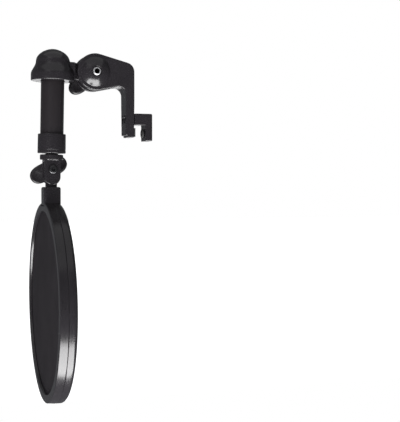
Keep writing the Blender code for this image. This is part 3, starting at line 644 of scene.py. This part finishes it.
def make_clip():
    """The jaw, the ribbed pad on the leg, and the clamp screw with its pad."""
    low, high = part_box("saddle_jaw")
    pad_low, pad_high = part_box("leg_pad")
    screw_low, screw_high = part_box("clamp_screw")
    clamp = (0, 0, (screw_low.z + screw_high.z) / 2)
    clamp_radius = (screw_high.z - screw_low.z) / 2
    inside = screw_low.x
    cutters = [
        box((low.x - OVER, low.y - OVER, low.z - OVER), (inside, high.y + OVER, 0)),
        rod(clamp_radius + GAP, inside - OVER, high.x + OVER, "X", clamp),
    ]
    for way in (-1, 1):
        at = (0, way * JAW_SCREW_Y, JAW_SCREW_Z)
        cutters.append(rod(SCREW_RADIUS + GAP, low.x - OVER, JAW_SCREW_END, "X", at))
    stand_for(moulded([box(low, high, EDGE)], cutters, 0.3 * MM, 5), "saddle_jaw")

    pitch = (pad_high.y - pad_low.y) / PAD_RIBS
    foot, head = pad_low.z - OVER, pad_high.z + OVER
    grooves = [
        rod(RIB_GROOVE, foot, head, "Z", (pad_high.x, pad_low.y + pitch * k, 0), 20)
        for k in range(1, PAD_RIBS)
    ]
    stand_for(machined(box(pad_low, pad_high, 0.2 * MM), grooves), "leg_pad")

    pad_low, pad_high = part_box("pressure_pad")
    outer = (pad_high.z - pad_low.z) / 2
    profile = rounded([
        (outer, pad_high.x, 0.3 * MM),
        (outer, pad_low.x, 0.3 * MM),
        (PRESSURE_PAD_BORE, pad_low.x, 0.2 * MM),
        (PRESSURE_PAD_BORE, pad_high.x, 0),
    ])
    stand_for(machined(lathe(profile, "X", clamp, ring=True)), "pressure_pad")

    root = clamp_radius - THREAD_DEPTH
    start, end = inside + THREAD_START, screw_high.x
    body = [(0, inside), (CLAMP_NOSE, inside)]
    for k in range(int((end - THREAD_START - start) / THREAD_PITCH)):
        body.append((root, start + THREAD_PITCH * k))
        body.append((clamp_radius, start + THREAD_PITCH * (k + 0.5)))
    body += [(root, end - 0.3 * MM), (clamp_radius - 0.5 * MM, end), (0, end)]
    key, depth = CLAMP_SOCKET
    socket = rod(key, end - depth, end + OVER, "X", clamp, 6)
    stand_for(machined(lathe(body, "X", clamp, 48), [socket]), "clamp_screw")


# Screws and washers

HEAD_FLAT = 0.78  # radius of a head's flat top, as a share of its key's width
HEAD_DOME = 0.55  # share of a head's height that is domed
HEAD_STEPS = 8
TIP_CHAMFER = 0.4 * MM


def make_screw(node, axis, way, shank, head_height, key, depth):
    """A button-head screw with a hex socket. Way says which end of its axis the head is at."""
    low, high = own_box(node)
    index = "XYZ".index(axis)
    others = [i for i in range(3) if i != index]
    head = max(high[i] - low[i] for i in others) / 2
    at = (low + high) / 2
    at[index] = 0
    top, tail = (high[index], low[index]) if way > 0 else (low[index], high[index])
    seat = top - way * head_height
    flat = key * HEAD_FLAT
    profile = [(0, top)]
    for k in range(HEAD_STEPS + 1):
        t = math.pi / 2 * k / HEAD_STEPS
        height = top - way * HEAD_DOME * head_height * (1 - math.cos(t))
        profile.append((flat + (head - flat) * math.sin(t), height))
    profile += [
        (head, seat),
        (shank, seat),
        (shank, tail + way * TIP_CHAMFER),
        (shank - TIP_CHAMFER, tail),
        (0, tail),
    ]
    ends = sorted((top - way * depth, top + way * OVER))
    socket = rod(key / math.sqrt(3), *ends, axis, at, 6)
    stand_for(machined(lathe(profile, axis, at, 64), [socket]), node)


def make_washer(node, axis, hole, edge=0.12 * MM):
    """A flat ring with its edges rounded."""
    low, high = own_box(node)
    index = "XYZ".index(axis)
    outer = max(high[i] - low[i] for i in range(3) if i != index) / 2
    at = (low + high) / 2
    at[index] = 0
    corners = [(outer, high[index]), (outer, low[index]), (hole, low[index]), (hole, high[index])]
    profile = rounded([(*corner, edge) for corner in corners], 3)
    stand_for(machined(lathe(profile, axis, at, ring=True)), node)


# Wing knobs

WING_STEPS = 96
WING_HALF_WIDTH = 8 * MM
WING_POWER = 0.87  # under 1 makes the wings' outline squarer than an ellipse
WING_PINCH = 0.15  # share of the width taken off at its widest
WING_EDGE = 1.9 * MM
CROWN_THICK = 1.5 * MM  # between the bolt's hole and the hub's top
DISH_SPHERE = 13 * MM
DISH_DEPTH = 0.75 * MM


def blunted(share):
    """A cosine or sine of the wings' outline, with its sign kept."""
    return math.copysign(abs(share) ** WING_POWER, share)


def make_knob(prefix, at, half_length, lean, hub, paddle, bolt, nut):
    """A wing knob: a domed hub, two paddles with a finger dish on each side, and a nut pocket.

    The paddles lean by some degrees from X and lie between two depths in Y. The hub and the bolt
    are given by radius, and the nut by its width across the flats and its height.
    """
    low, high = own_box(prefix + "_wing_knob")
    start, end = low.y, high.y
    turn = math.radians(lean)
    along = Vector((math.cos(turn), 0, math.sin(turn)))
    across = Vector((-math.sin(turn), 0, math.cos(turn)))
    outline = []
    for k in range(WING_STEPS):
        t = 2 * math.pi * k / WING_STEPS
        point = at + along * half_length * blunted(math.cos(t))
        pinch = 1 - WING_PINCH * math.sin(t) ** 6
        point += across * WING_HALF_WIDTH * blunted(math.sin(t)) * pinch
        outline.append((point.x, point.z))
    paddles = slab(outline, *paddle, WING_EDGE)
    crown = rounded([
        (0, end, 0),
        (hub - 1.4 * MM, end, 1.6 * MM),
        (hub, start + 1 * MM, 0),
        (hub, start, 0.4 * MM),
        (0, start, 0),
    ])
    axis = (at.x, 0, at.z)
    body = lathe(crown, "Y", axis)
    apart = (half_length + hub) / 2
    dishes = []
    for way in (-1, 1):
        for face, out in zip(paddle, (-1, 1)):
            middle = at + along * apart * way
            middle.y = face + out * (DISH_SPHERE - DISH_DEPTH)
            ball = bmesh.new()
            bmesh.ops.create_uvsphere(ball, u_segments=64, v_segments=32, radius=DISH_SPHERE)
            bmesh.ops.translate(ball, vec=middle, verts=ball.verts)
            dishes.append(from_bmesh("dish", ball))
    boolean(paddles, dishes, "DIFFERENCE")
    discard(dishes)
    pocket = nut[0] / math.sqrt(3) + 1.2 * GAP
    holes = [
        rod(pocket, start - OVER, start + nut[1] + 2 * GAP, "Y", axis, 6),
        rod(bolt + GAP, start - OVER, end - CROWN_THICK, "Y", axis),
    ]
    stand_for(moulded([paddles, body], holes, 0.3 * MM, 8), prefix + "_wing_knob")


# The drop arm

DOME_RADIUS = 12.6 * MM
DOME_HEIGHT = 9.5 * MM
DOME_POINT = 1.15  # over 1 makes the dome's top narrower than an ellipse's
DOME_STEPS = 18
FLARE_STEPS = 15
LIP_HEIGHT = 4.8 * MM
GRUB_HEIGHT = 3.2 * MM  # of the cap's screw over the lip's underside
SHOULDER_HALF = (6.2 * MM, 6.6 * MM)  # in Y and Z
SHOULDER_EDGE = 1.2 * MM
TONGUE_HALF = 3.2 * MM
EYE_RADIUS = 10.8 * MM
TUBE_WALL = 1.5 * MM


def flare(share):
    """How far the cap has widened from its dome to its lip, on a share of the way down."""
    return share**2.2 * (3.2 - 2.2 * share)


def make_elbow_cap():
    """A dome that flares to a lip round the tube, with a tongue that fills the clevis."""
    low, high = upright_box("elbow_cap")
    tube_low, tube_high = upright_box("drop_tube")
    tube_radius = (tube_high.x - tube_low.x) / 2
    screw = sum(upright_box("elbow_screw"), Vector()) / 2
    lip = TUBE_X - low.x
    lip_bottom = screw.z - GRUB_HEIGHT
    lip_top = lip_bottom + LIP_HEIGHT
    spring = high.z - DOME_HEIGHT
    profile = [(0, high.z)]
    for k in range(1, DOME_STEPS + 1):
        t = math.pi / 2 * k / DOME_STEPS
        radius = DOME_RADIUS * math.sin(t) ** DOME_POINT
        profile.append((radius, spring + DOME_HEIGHT * math.cos(t)))
    for k in range(1, FLARE_STEPS):
        share = k / FLARE_STEPS
        radius = DOME_RADIUS + (lip - DOME_RADIUS) * flare(share)
        profile.append((radius, spring - (spring - lip_top) * share))
    profile += rounded([(lip, lip_top, 0), (lip, lip_bottom, 0.5 * MM), (0, lip_bottom, 0)], 5)
    axis = (TUBE_X, 0, 0)
    bracket_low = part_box("bracket")[0]
    shoulder = box(
        (TUBE_X, -SHOULDER_HALF[0], HINGE.z - SHOULDER_HALF[1]),
        (bracket_low.x - 2 * GAP, SHOULDER_HALF[0], HINGE.z + SHOULDER_HALF[1]),
        SHOULDER_EDGE,
    )
    rise = SHOULDER_HALF[1] - 0.2 * MM
    eye_top = math.degrees(math.pi - math.asin(rise / EYE_RADIUS))
    outline = arc((HINGE.x, HINGE.z), EYE_RADIUS, -eye_top, eye_top, 60)
    outline += [(TUBE_X, HINGE.z + rise), (TUBE_X, HINGE.z - rise)]
    tongue = slab(outline, -TONGUE_HALF, TONGUE_HALF, 0.3 * MM)
    cutters = [
        rod(tube_radius + GAP, lip_bottom - OVER, tube_high.z + GAP, "Z", axis, 96),
        rod(UPPER_BOLT_RADIUS + GAP, -CLEVIS_HALF, CLEVIS_HALF, "Y", HINGE),
        rod(SCREW_RADIUS + GAP, tube_radius - OVER, lip + OVER, "Y", (TUBE_X, 0, screw.z)),
    ]
    solids = [lathe(profile, "Z", axis, 128), shoulder, tongue]
    stand_for(moulded(solids, cutters, 0.34 * MM, 6), "elbow_cap")


def make_tube():
    low, high = upright_box("drop_tube")
    radius = (high.x - low.x) / 2
    bore = radius - TUBE_WALL
    edge = 0.25 * MM
    profile = rounded([
        (radius, high.z, edge),
        (radius, low.z, edge),
        (bore, low.z, edge),
        (bore, high.z, edge),
    ], 4)
    stand_for(machined(lathe(profile, "Z", (TUBE_X, 0, 0), 128, ring=True)), "drop_tube")


def make_collar():
    """The tube's foot: a sleeve with a drafted wall and a groove, and a floor with a hole."""
    low, high = upright_box("collar")
    radius = (high.x - low.x) / 2
    tube_low, tube_high = upright_box("drop_tube")
    bore = (tube_high.x - tube_low.x) / 2 + GAP
    hole = STUD_RADIUS + GAP
    floor = low.z + 1.5 * MM
    draft = 0.12 * MM
    groove = low.z + 2.6 * MM
    groove_half, groove_depth = 0.3 * MM, 0.12 * MM
    profile = rounded([
        (radius - draft, high.z, 0.5 * MM),
        (radius, groove + groove_half, 0.08 * MM),
        (radius - groove_depth, groove, 0),
        (radius, groove - groove_half, 0.08 * MM),
        (radius, low.z, 0.55 * MM),
        (hole, low.z, 0.2 * MM),
        (hole, floor, 0.1 * MM),
        (bore, floor, 0),
        (bore, high.z, 0.15 * MM),
    ], 5)
    stand_for(machined(lathe(profile, "Z", (TUBE_X, 0, 0), 128, ring=True)), "collar")


# The swivel, the fork and the tongue

EAR_HALF = 5.9 * MM
FORK_HALF = 7.2 * MM
FORK_SLOT_HALF = 3.7 * MM
FORK_CUT = 12 * MM  # how far the fork's cutters reach from its middle
FLANGE_THICK = 4 * MM
SWIVEL_SCREW_DEPTH = 2.2 * MM  # of its hole, below the flange's top
STEM_HALF = 4.1 * MM
WAIST_DROP = 8 * MM  # from the pivot down to where the tongue is straight
TENON_SCREW = 3.4 * MM  # from the tenon's foot up to its cross screw
TENON_CUT = 8 * MM  # how far the cross screw's hole reaches to each side


def make_fork():
    """A stud and a flange, with two ears under it."""
    low, high = upright_box("lower_fork")
    axis = (TUBE_X, 0, 0)
    flange_top = FLANGE_TOP.z
    flange_radius = (high.y - low.y) / 2
    flange_bottom = flange_top - FLANGE_THICK
    slot_top = flange_bottom - 1.1 * MM
    flange = rounded([
        (0, high.z, 0),
        (STUD_RADIUS, high.z, 0.3 * MM),
        (STUD_RADIUS, flange_top, 0),
        (flange_radius, flange_top, 0.5 * MM),
        (flange_radius, flange_bottom, 0.6 * MM),
        (0, flange_bottom, 0),
    ])
    outline = arc((TUBE_X, low.z + EAR_HALF), EAR_HALF, -180, 0, 48)
    root = flange_bottom + OVER
    outline += [(TUBE_X + EAR_HALF, root), (TUBE_X - EAR_HALF, root)]
    ears = slab(outline, -FORK_HALF, FORK_HALF, 0.7 * MM)
    cutters = [
        box(
            (TUBE_X - FORK_CUT, -FORK_SLOT_HALF, low.z - OVER),
            (TUBE_X + FORK_CUT, FORK_SLOT_HALF, slot_top),
        ),
        rod(LOWER_BOLT_RADIUS + GAP, -FORK_CUT, FORK_CUT, "Y", PIVOT_UP),
        rod(SCREW_RADIUS + GAP, flange_top - SWIVEL_SCREW_DEPTH, high.z + OVER, "Z", axis),
    ]
    stand_for(moulded([lathe(flange, "Z", axis), ears], cutters, 0.26 * MM, 6), "lower_fork")


def make_tongue():
    """The eye between the fork's ears, on the stem that ends as a tenon in the hoop's neck."""
    low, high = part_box("tongue")
    eye = arc((PIVOT.x, PIVOT.z), high.z - PIVOT.z, -40, 220, 60)
    waist = PIVOT.z - WAIST_DROP
    outline = eye + [
        (STEM_X - STEM_HALF, waist),
        (STEM_X - STEM_HALF, low.z),
        (STEM_X + STEM_HALF, low.z),
        (STEM_X + STEM_HALF, waist),
    ]
    left, right = PIVOT.x - TENON_CUT, PIVOT.x + TENON_CUT
    cutters = [
        rod(LOWER_BOLT_RADIUS + GAP, low.y - OVER, high.y + OVER, "Y", PIVOT),
        rod(CROSS_SCREW_RADIUS + GAP, left, right, "X", (0, 0, low.z + TENON_SCREW)),
    ]
    piece = moulded([slab(outline, low.y, high.y, 0.3 * MM)], cutters, 0.24 * MM, 5)
    stand_for(piece, "tongue")


# The hoop

RIM_WALL = 3 * MM
RIM_WIDTH = 7 * MM  # from the rim's outside to the lip's inner edge, at the fabric
LIP_DEPTH = 1.6 * MM
LIP_DRAFT = 0.55 * MM  # how far a lip's inner wall opens outwards over its depth
LIP_EDGE = 0.3 * MM
LIP_CORNER = 0.1 * MM
SEAM_HALF = 0.03 * MM  # half the gap between the two rings
# How the rim rounds off into the seam: below its surface, and away from the seam's face
SEAM_DIP = [(0.3 * MM, 0.02 * MM), (0.17 * MM, 0.15 * MM), (0.06 * MM, 0.4 * MM), (0, 0.8 * MM)]
HOOP_STEPS = 288
NOTCH_GAP = 0.05 * MM  # between the neck and the front ring
NOTCH_CUT = (10 * MM, 20 * MM)  # how far its cutter reaches in X and Z
NECK_HALF = (6.2 * MM, 8 * MM)  # in X and Y
NECK_EDGE = 1.4 * MM
NECK_SINK = 0.2 * MM  # how far the neck stands clear of the rim's inner wall
CROSS_HEAD_RADIUS = 1.9 * MM
CROSS_HEAD_DEPTH = 0.9 * MM


def make_front_ring():
    """The front half of the hoop, with a notch for the neck."""
    low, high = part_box("hoop_front_ring")
    outer = (high.y - low.y) / 2
    lip_inner = outer - RIM_WIDTH
    front = low.x - HOOP.x
    seat = front + LIP_DEPTH
    seam = -SEAM_HALF
    profile = [(outer - depth, seam - away) for depth, away in SEAM_DIP]
    profile += rounded([
        (outer, front, 0.7 * MM),
        (lip_inner + LIP_DRAFT, front, LIP_EDGE),
        (lip_inner, seat, LIP_CORNER),
        (outer - RIM_WALL, seat, 0),
        (outer - RIM_WALL, seam, 0),
    ], 7)
    neck_foot = HOOP.z + outer - RIM_WALL + NECK_SINK - NOTCH_GAP
    notch = box(
        (HOOP.x - NOTCH_CUT[0], -NECK_HALF[1] - NOTCH_GAP, neck_foot),
        (HOOP.x + NOTCH_CUT[0], NECK_HALF[1] + NOTCH_GAP, neck_foot + NOTCH_CUT[1]),
    )
    ring = lathe(profile, "X", HOOP, HOOP_STEPS, ring=True)
    stand_for(machined(ring, [notch]), "hoop_front_ring")


def make_hoop_frame():
    """The rear half of the hoop, with the neck and its pocket for the tongue's tenon."""
    low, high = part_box("hoop_frame")
    outer = (high.y - low.y) / 2
    lip_inner = outer - RIM_WIDTH
    rear = high.x - HOOP.x
    seat = rear - LIP_DEPTH
    profile = rounded([
        (lip_inner, seat, LIP_CORNER),
        (lip_inner + LIP_DRAFT, rear, LIP_EDGE),
        (outer, rear, 2.9 * MM),
        (outer, SEAM_HALF, 0),
        (outer - RIM_WALL, SEAM_HALF, 0),
        (outer - RIM_WALL, seat, 0),
    ], 9)
    corner = profile.index((outer, SEAM_HALF))
    dip = [(outer - depth, SEAM_HALF + away) for depth, away in reversed(SEAM_DIP)]
    profile[corner : corner + 1] = dip
    ring = lathe(profile, "X", HOOP, HOOP_STEPS, ring=True)
    foot = HOOP.z + outer - RIM_WALL + NECK_SINK
    neck = box(
        (HOOP.x - NECK_HALF[0], -NECK_HALF[1], foot),
        (HOOP.x + NECK_HALF[0], NECK_HALF[1], high.z),
        NECK_EDGE,
        6,
    )
    tongue_low, tongue_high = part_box("tongue")
    screw = (0, 0, tongue_low.z + TENON_SCREW)
    blind = HOOP.x - NECK_HALF[0] + OVER
    face = HOOP.x + NECK_HALF[0]
    cutters = [
        box(
            (STEM_X - STEM_HALF - GAP, tongue_low.y - GAP, tongue_low.z - GAP),
            (STEM_X + STEM_HALF + GAP, tongue_high.y + GAP, high.z + OVER),
        ),
        rod(CROSS_SCREW_RADIUS + GAP, blind, face + OVER, "X", screw, 32),
        rod(CROSS_HEAD_RADIUS + GAP, face - CROSS_HEAD_DEPTH, face + OVER, "X", screw, 48),
    ]
    stand_for(machined(ring, cutters, [neck]), "hoop_frame")


SCREEN_FREE = 68 * MM  # radius of the fabric that the lips leave free
SCREEN_RINGS, SCREEN_TURNS = 72, 240
SCREEN_THICK = 0.25 * MM
RIPPLE = 0.16 * MM  # height of the folds that the clamping pulls in near the lip
SAG = 0.3 * MM  # height of the broad unevenness over the whole screen


def make_screen(node, way):
    """A disc of gauze, stretched between the rings and clamped behind the lip."""
    low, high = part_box(node)
    radius = (high.z - low.z) / 2
    plane = (low.x + high.x) / 2
    free, rings, turns = SCREEN_FREE, SCREEN_RINGS, SCREEN_TURNS
    shape = bmesh.new()
    centre = shape.verts.new((plane, 0, HOOP.z))
    rows = []
    for i in range(1, rings + 1):
        r = radius * i / rings
        row = []
        for k in range(turns):
            t = 2 * math.pi * k / turns
            x, y = math.cos(t), math.sin(t)
            slack = max(0.0, 1 - (r / free) ** 2)
            ripple = noise.noise(Vector((6 * x, 6 * y, 9 * r / free + way)))
            pull = noise.noise(Vector((2.1 * x * r / free, 2.1 * y * r / free, 5.0 * way)))
            lift = RIPPLE * ripple * slack**0.35 * (r / free) ** 2 + SAG * pull * slack
            row.append(shape.verts.new((plane - way * lift, r * x, HOOP.z + r * y)))
        rows.append(row)
    for k in range(turns):
        shape.faces.new((centre, rows[0][k], rows[0][(k + 1) % turns]))
    for inner, outer in zip(rows, rows[1:]):
        for k in range(turns):
            n = (k + 1) % turns
            shape.faces.new((inner[k], outer[k], outer[n], inner[n]))
    sheet = from_bmesh("screen", shape)
    solidify = sheet.modifiers.new("Solidify", "SOLIDIFY")
    solidify.thickness = SCREEN_THICK
    solidify.offset = 0
    bake(sheet)
    sheet.data.shade_smooth()
    stand_for(sheet, node)


# CAD nodes that stay, with a better surface

KEPT_EDGE = 0.08 * MM
KEPT_ANGLE = math.radians(50)  # edges over this are softened


def dress(node):
    """Keeps a CAD node's shape, welds its vertices and softens its edges."""
    obj = frame["nodes"][node]
    obj.data.materials.clear()
    obj.data.materials.append(MATERIALS[SLOT_OF[node]])
    weld = obj.modifiers.new("Weld", "WELD")
    weld.merge_threshold = MERGE
    bevel = obj.modifiers.new("Bevel", "BEVEL")
    bevel.width = KEPT_EDGE
    bevel.segments = 2
    bevel.limit_method = "ANGLE"
    bevel.angle_limit = KEPT_ANGLE


# The stage, the lights and the camera

FLOOR_Z = -0.95
FLOOR_X = (-1.6, 3.0)
FLOOR_Y = (-3.0, 1.7)
BACKDROP_Y = 3.2
BACKDROP_X = (0.15, 3.6)  # cut off on the left and at the top, where faces seen at a
BACKDROP_Z = (-0.95, -0.2)  # low angle would mirror it
PAPER = (0.86, 0.86, 0.86)
PAPER_CLOUDS = (0.84, 0.84, 0.84)

WORLD_SEEN = 1.0  # strength of the white that the camera sees
WORLD_LIGHT = 0.14  # strength of the cooler light that falls on the object
WORLD_TINT = (0.93, 0.96, 1, 1)
UNDER_DROP = 0.75  # from the object's middle down to the softbox under it
UNDER_ASIDE = (-0.15, -0.64)  # where it lies in X and Y, as shares of the drop
UNDER_SIZE = (1.5, 1.0)  # as shares of the drop
UNDER_RADIANCE = 15.5
# Place, size and radiance
KEY = ((-1.5, -1.7, 1.5), (1.2, 1.2), 0.4)
OVERHEAD = ((0, -0.4, 1.8), (3, 3), 0.45)
FRONT_FILL = ((-1.2, -1.6, 0.1), (1.2, 1.2), 14)

# Fitted to the object's outline in the photograph
CAMERA_AT = (-0.18393, -0.70879, -0.04548)
CAMERA_AZIMUTH = math.radians(18.3)
CAMERA_PITCH = math.radians(-1.6)
CAMERA_SENSOR = 36  # mm, along the frame's longer side
CAMERA_LENS = 80.75  # mm
CAMERA_NEAR = 0.01


def make_paper(name, corners, glow):
    """A sheet of pale paper that glows by itself."""
    shape = bmesh.new()
    shape.faces.new([shape.verts.new(corner) for corner in corners])
    paper = from_bmesh(name, shape)
    look = Graph(name, PAPER, 0.9)
    look.shader.inputs["Emission Color"].default_value = (1, 1, 1, 1)
    look.shader.inputs["Emission Strength"].default_value = glow
    look.tint(look.remap(look.noise(0.4, 3), 0.4, 0.6, 0, 0.3), PAPER_CLOUDS)
    paper.data.materials.append(look.material)
    return paper


def make_stage():
    """A pale floor that no reflection shows, and a backdrop of the same paper."""
    (left, right), (front, back) = FLOOR_X, FLOOR_Y
    corners = ((left, front), (right, front), (right, back), (left, back))
    floor = make_paper("paper_floor", [(x, y, FLOOR_Z) for x, y in corners], 0.9)
    floor.visible_glossy = False
    (left, right), (low, high) = BACKDROP_X, BACKDROP_Z
    corners = ((left, low), (right, low), (right, high), (left, high))
    make_paper("paper_backdrop", [(x, BACKDROP_Y, z) for x, z in corners], 1.0)


def add_light(name, at, aim, size, radiance):
    """A softbox: a rectangle of light that the camera doesn't see."""
    light = bpy.data.lights.new(name, "AREA")
    light.shape = "RECTANGLE"
    light.size, light.size_y = size
    light.energy = radiance * math.pi * size[0] * size[1]
    lamp = bpy.data.objects.new(name, light)
    bpy.context.scene.collection.objects.link(lamp)
    lamp.location = at
    lamp.rotation_euler = (Vector(aim) - Vector(at)).to_track_quat("-Z", "Y").to_euler()
    lamp.visible_camera = False
    return lamp


def make_world():
    """A room that the camera sees as white, and that lights the object much less."""
    world = bpy.data.worlds.new("studio")
    bpy.context.scene.world = world
    world.use_nodes = True
    tree = world.node_tree
    background = tree.nodes["Background"]
    room = tree.nodes.new("ShaderNodeBackground")
    background.inputs["Color"].default_value = (1, 1, 1, 1)
    background.inputs["Strength"].default_value = WORLD_SEEN
    room.inputs["Color"].default_value = WORLD_TINT
    room.inputs["Strength"].default_value = WORLD_LIGHT
    mix = tree.nodes.new("ShaderNodeMixShader")
    path = tree.nodes.new("ShaderNodeLightPath")
    tree.links.new(path.outputs["Is Camera Ray"], mix.inputs[0])
    tree.links.new(room.outputs[0], mix.inputs[1])
    tree.links.new(background.outputs[0], mix.inputs[2])
    tree.links.new(mix.outputs[0], tree.nodes["World Output"].inputs["Surface"])


def make_lights():
    """The softboxes: the one below makes the rim's highlight, and the fill shows in no gloss."""
    middle = (CAD_BOX[0] + CAD_BOX[1]) / 2
    drop = UNDER_DROP
    under = middle + Vector((UNDER_ASIDE[0] * drop, UNDER_ASIDE[1] * drop, -drop))
    size = [share * drop for share in UNDER_SIZE]
    add_light("under_softbox", under, under + Vector((0, 0, 1)), size, UNDER_RADIANCE)
    for name, (at, size, radiance) in (("key_softbox", KEY), ("overhead_softbox", OVERHEAD)):
        add_light(name, at, middle, size, radiance)
    at, size, radiance = FRONT_FILL
    add_light("front_fill", at, middle, size, radiance).visible_glossy = False


def make_camera():
    """The photograph's viewpoint."""
    data = bpy.data.cameras.new("camera")
    data.sensor_width = CAMERA_SENSOR
    data.lens = CAMERA_LENS
    data.clip_start = CAMERA_NEAR
    camera = bpy.data.objects.new("camera", data)
    bpy.context.scene.collection.objects.link(camera)
    azimuth, level = CAMERA_AZIMUTH, math.cos(CAMERA_PITCH)
    ahead = (math.sin(azimuth) * level, math.cos(azimuth) * level, math.sin(CAMERA_PITCH))
    camera.location = CAMERA_AT
    camera.rotation_euler = Vector(ahead).to_track_quat("-Z", "Y").to_euler()
    bpy.context.scene.camera = camera
    bpy.context.scene.view_settings.view_transform = "Standard"


make_camera()
make_stage()
make_world()
make_lights()

make_bracket()
make_clip()
make_elbow_cap()
make_tube()
make_collar()
make_fork()
make_tongue()
make_front_ring()
make_hoop_frame()
make_screen("front_mesh", 1)
make_screen("rear_mesh", -1)
make_knob(
    "upper",
    HINGE,
    half_length=20.4 * MM,
    lean=43,
    hub=6.6 * MM,
    paddle=(12.6 * MM, 17.4 * MM),
    bolt=UPPER_BOLT_RADIUS,
    nut=(8 * MM, 4 * MM),
)
make_knob(
    "lower",
    PIVOT_UP,
    half_length=15.3 * MM,
    lean=30,
    hub=5.6 * MM,
    paddle=(11 * MM, 15 * MM),
    bolt=LOWER_BOLT_RADIUS,
    nut=(7 * MM, 3.2 * MM),
)
# Node, axis, side of the head, shank's radius, head's height, key's width, socket's depth
for screw in (
    ("upper_pivot_bolt", "Y", -1, UPPER_BOLT_RADIUS, UPPER_HEAD_HEIGHT, 2.9 * MM, 6 * MM),
    ("lower_pivot_bolt", "Y", -1, LOWER_BOLT_RADIUS, 1.8 * MM, 2.5 * MM, 1.2 * MM),
    ("jaw_screw_front", "X", -1, SCREW_RADIUS, 1.6 * MM, 2.5 * MM, 1.1 * MM),
    ("jaw_screw_rear", "X", -1, SCREW_RADIUS, 1.6 * MM, 2.5 * MM, 1.1 * MM),
    ("tongue_screw", "X", 1, CROSS_SCREW_RADIUS, 1.1 * MM, 1.3 * MM, 0.7 * MM),
):
    make_screw(*screw)
UPPER_HOLE = UPPER_BOLT_RADIUS + GAP
LOWER_HOLE = LOWER_BOLT_RADIUS + GAP
for node, hole in (
    ("upper_washer", UPPER_HOLE),
    ("lower_washer", LOWER_HOLE),
    ("upper_friction_washer_front", UPPER_HOLE),
    ("upper_friction_washer_rear", UPPER_HOLE),
    ("lower_friction_washer_front", LOWER_HOLE),
    ("lower_friction_washer_rear", LOWER_HOLE),
):
    make_washer(node, "Y", hole)
make_washer("swivel_washer", "Z", STUD_RADIUS + GAP, 0.08 * MM)
for node in (
    "mesh_spacer",
    "swivel_retainer",
    "swivel_screw",
    "upper_nut_insert",
    "lower_nut_insert",
    "elbow_screw",
):
    dress(node)
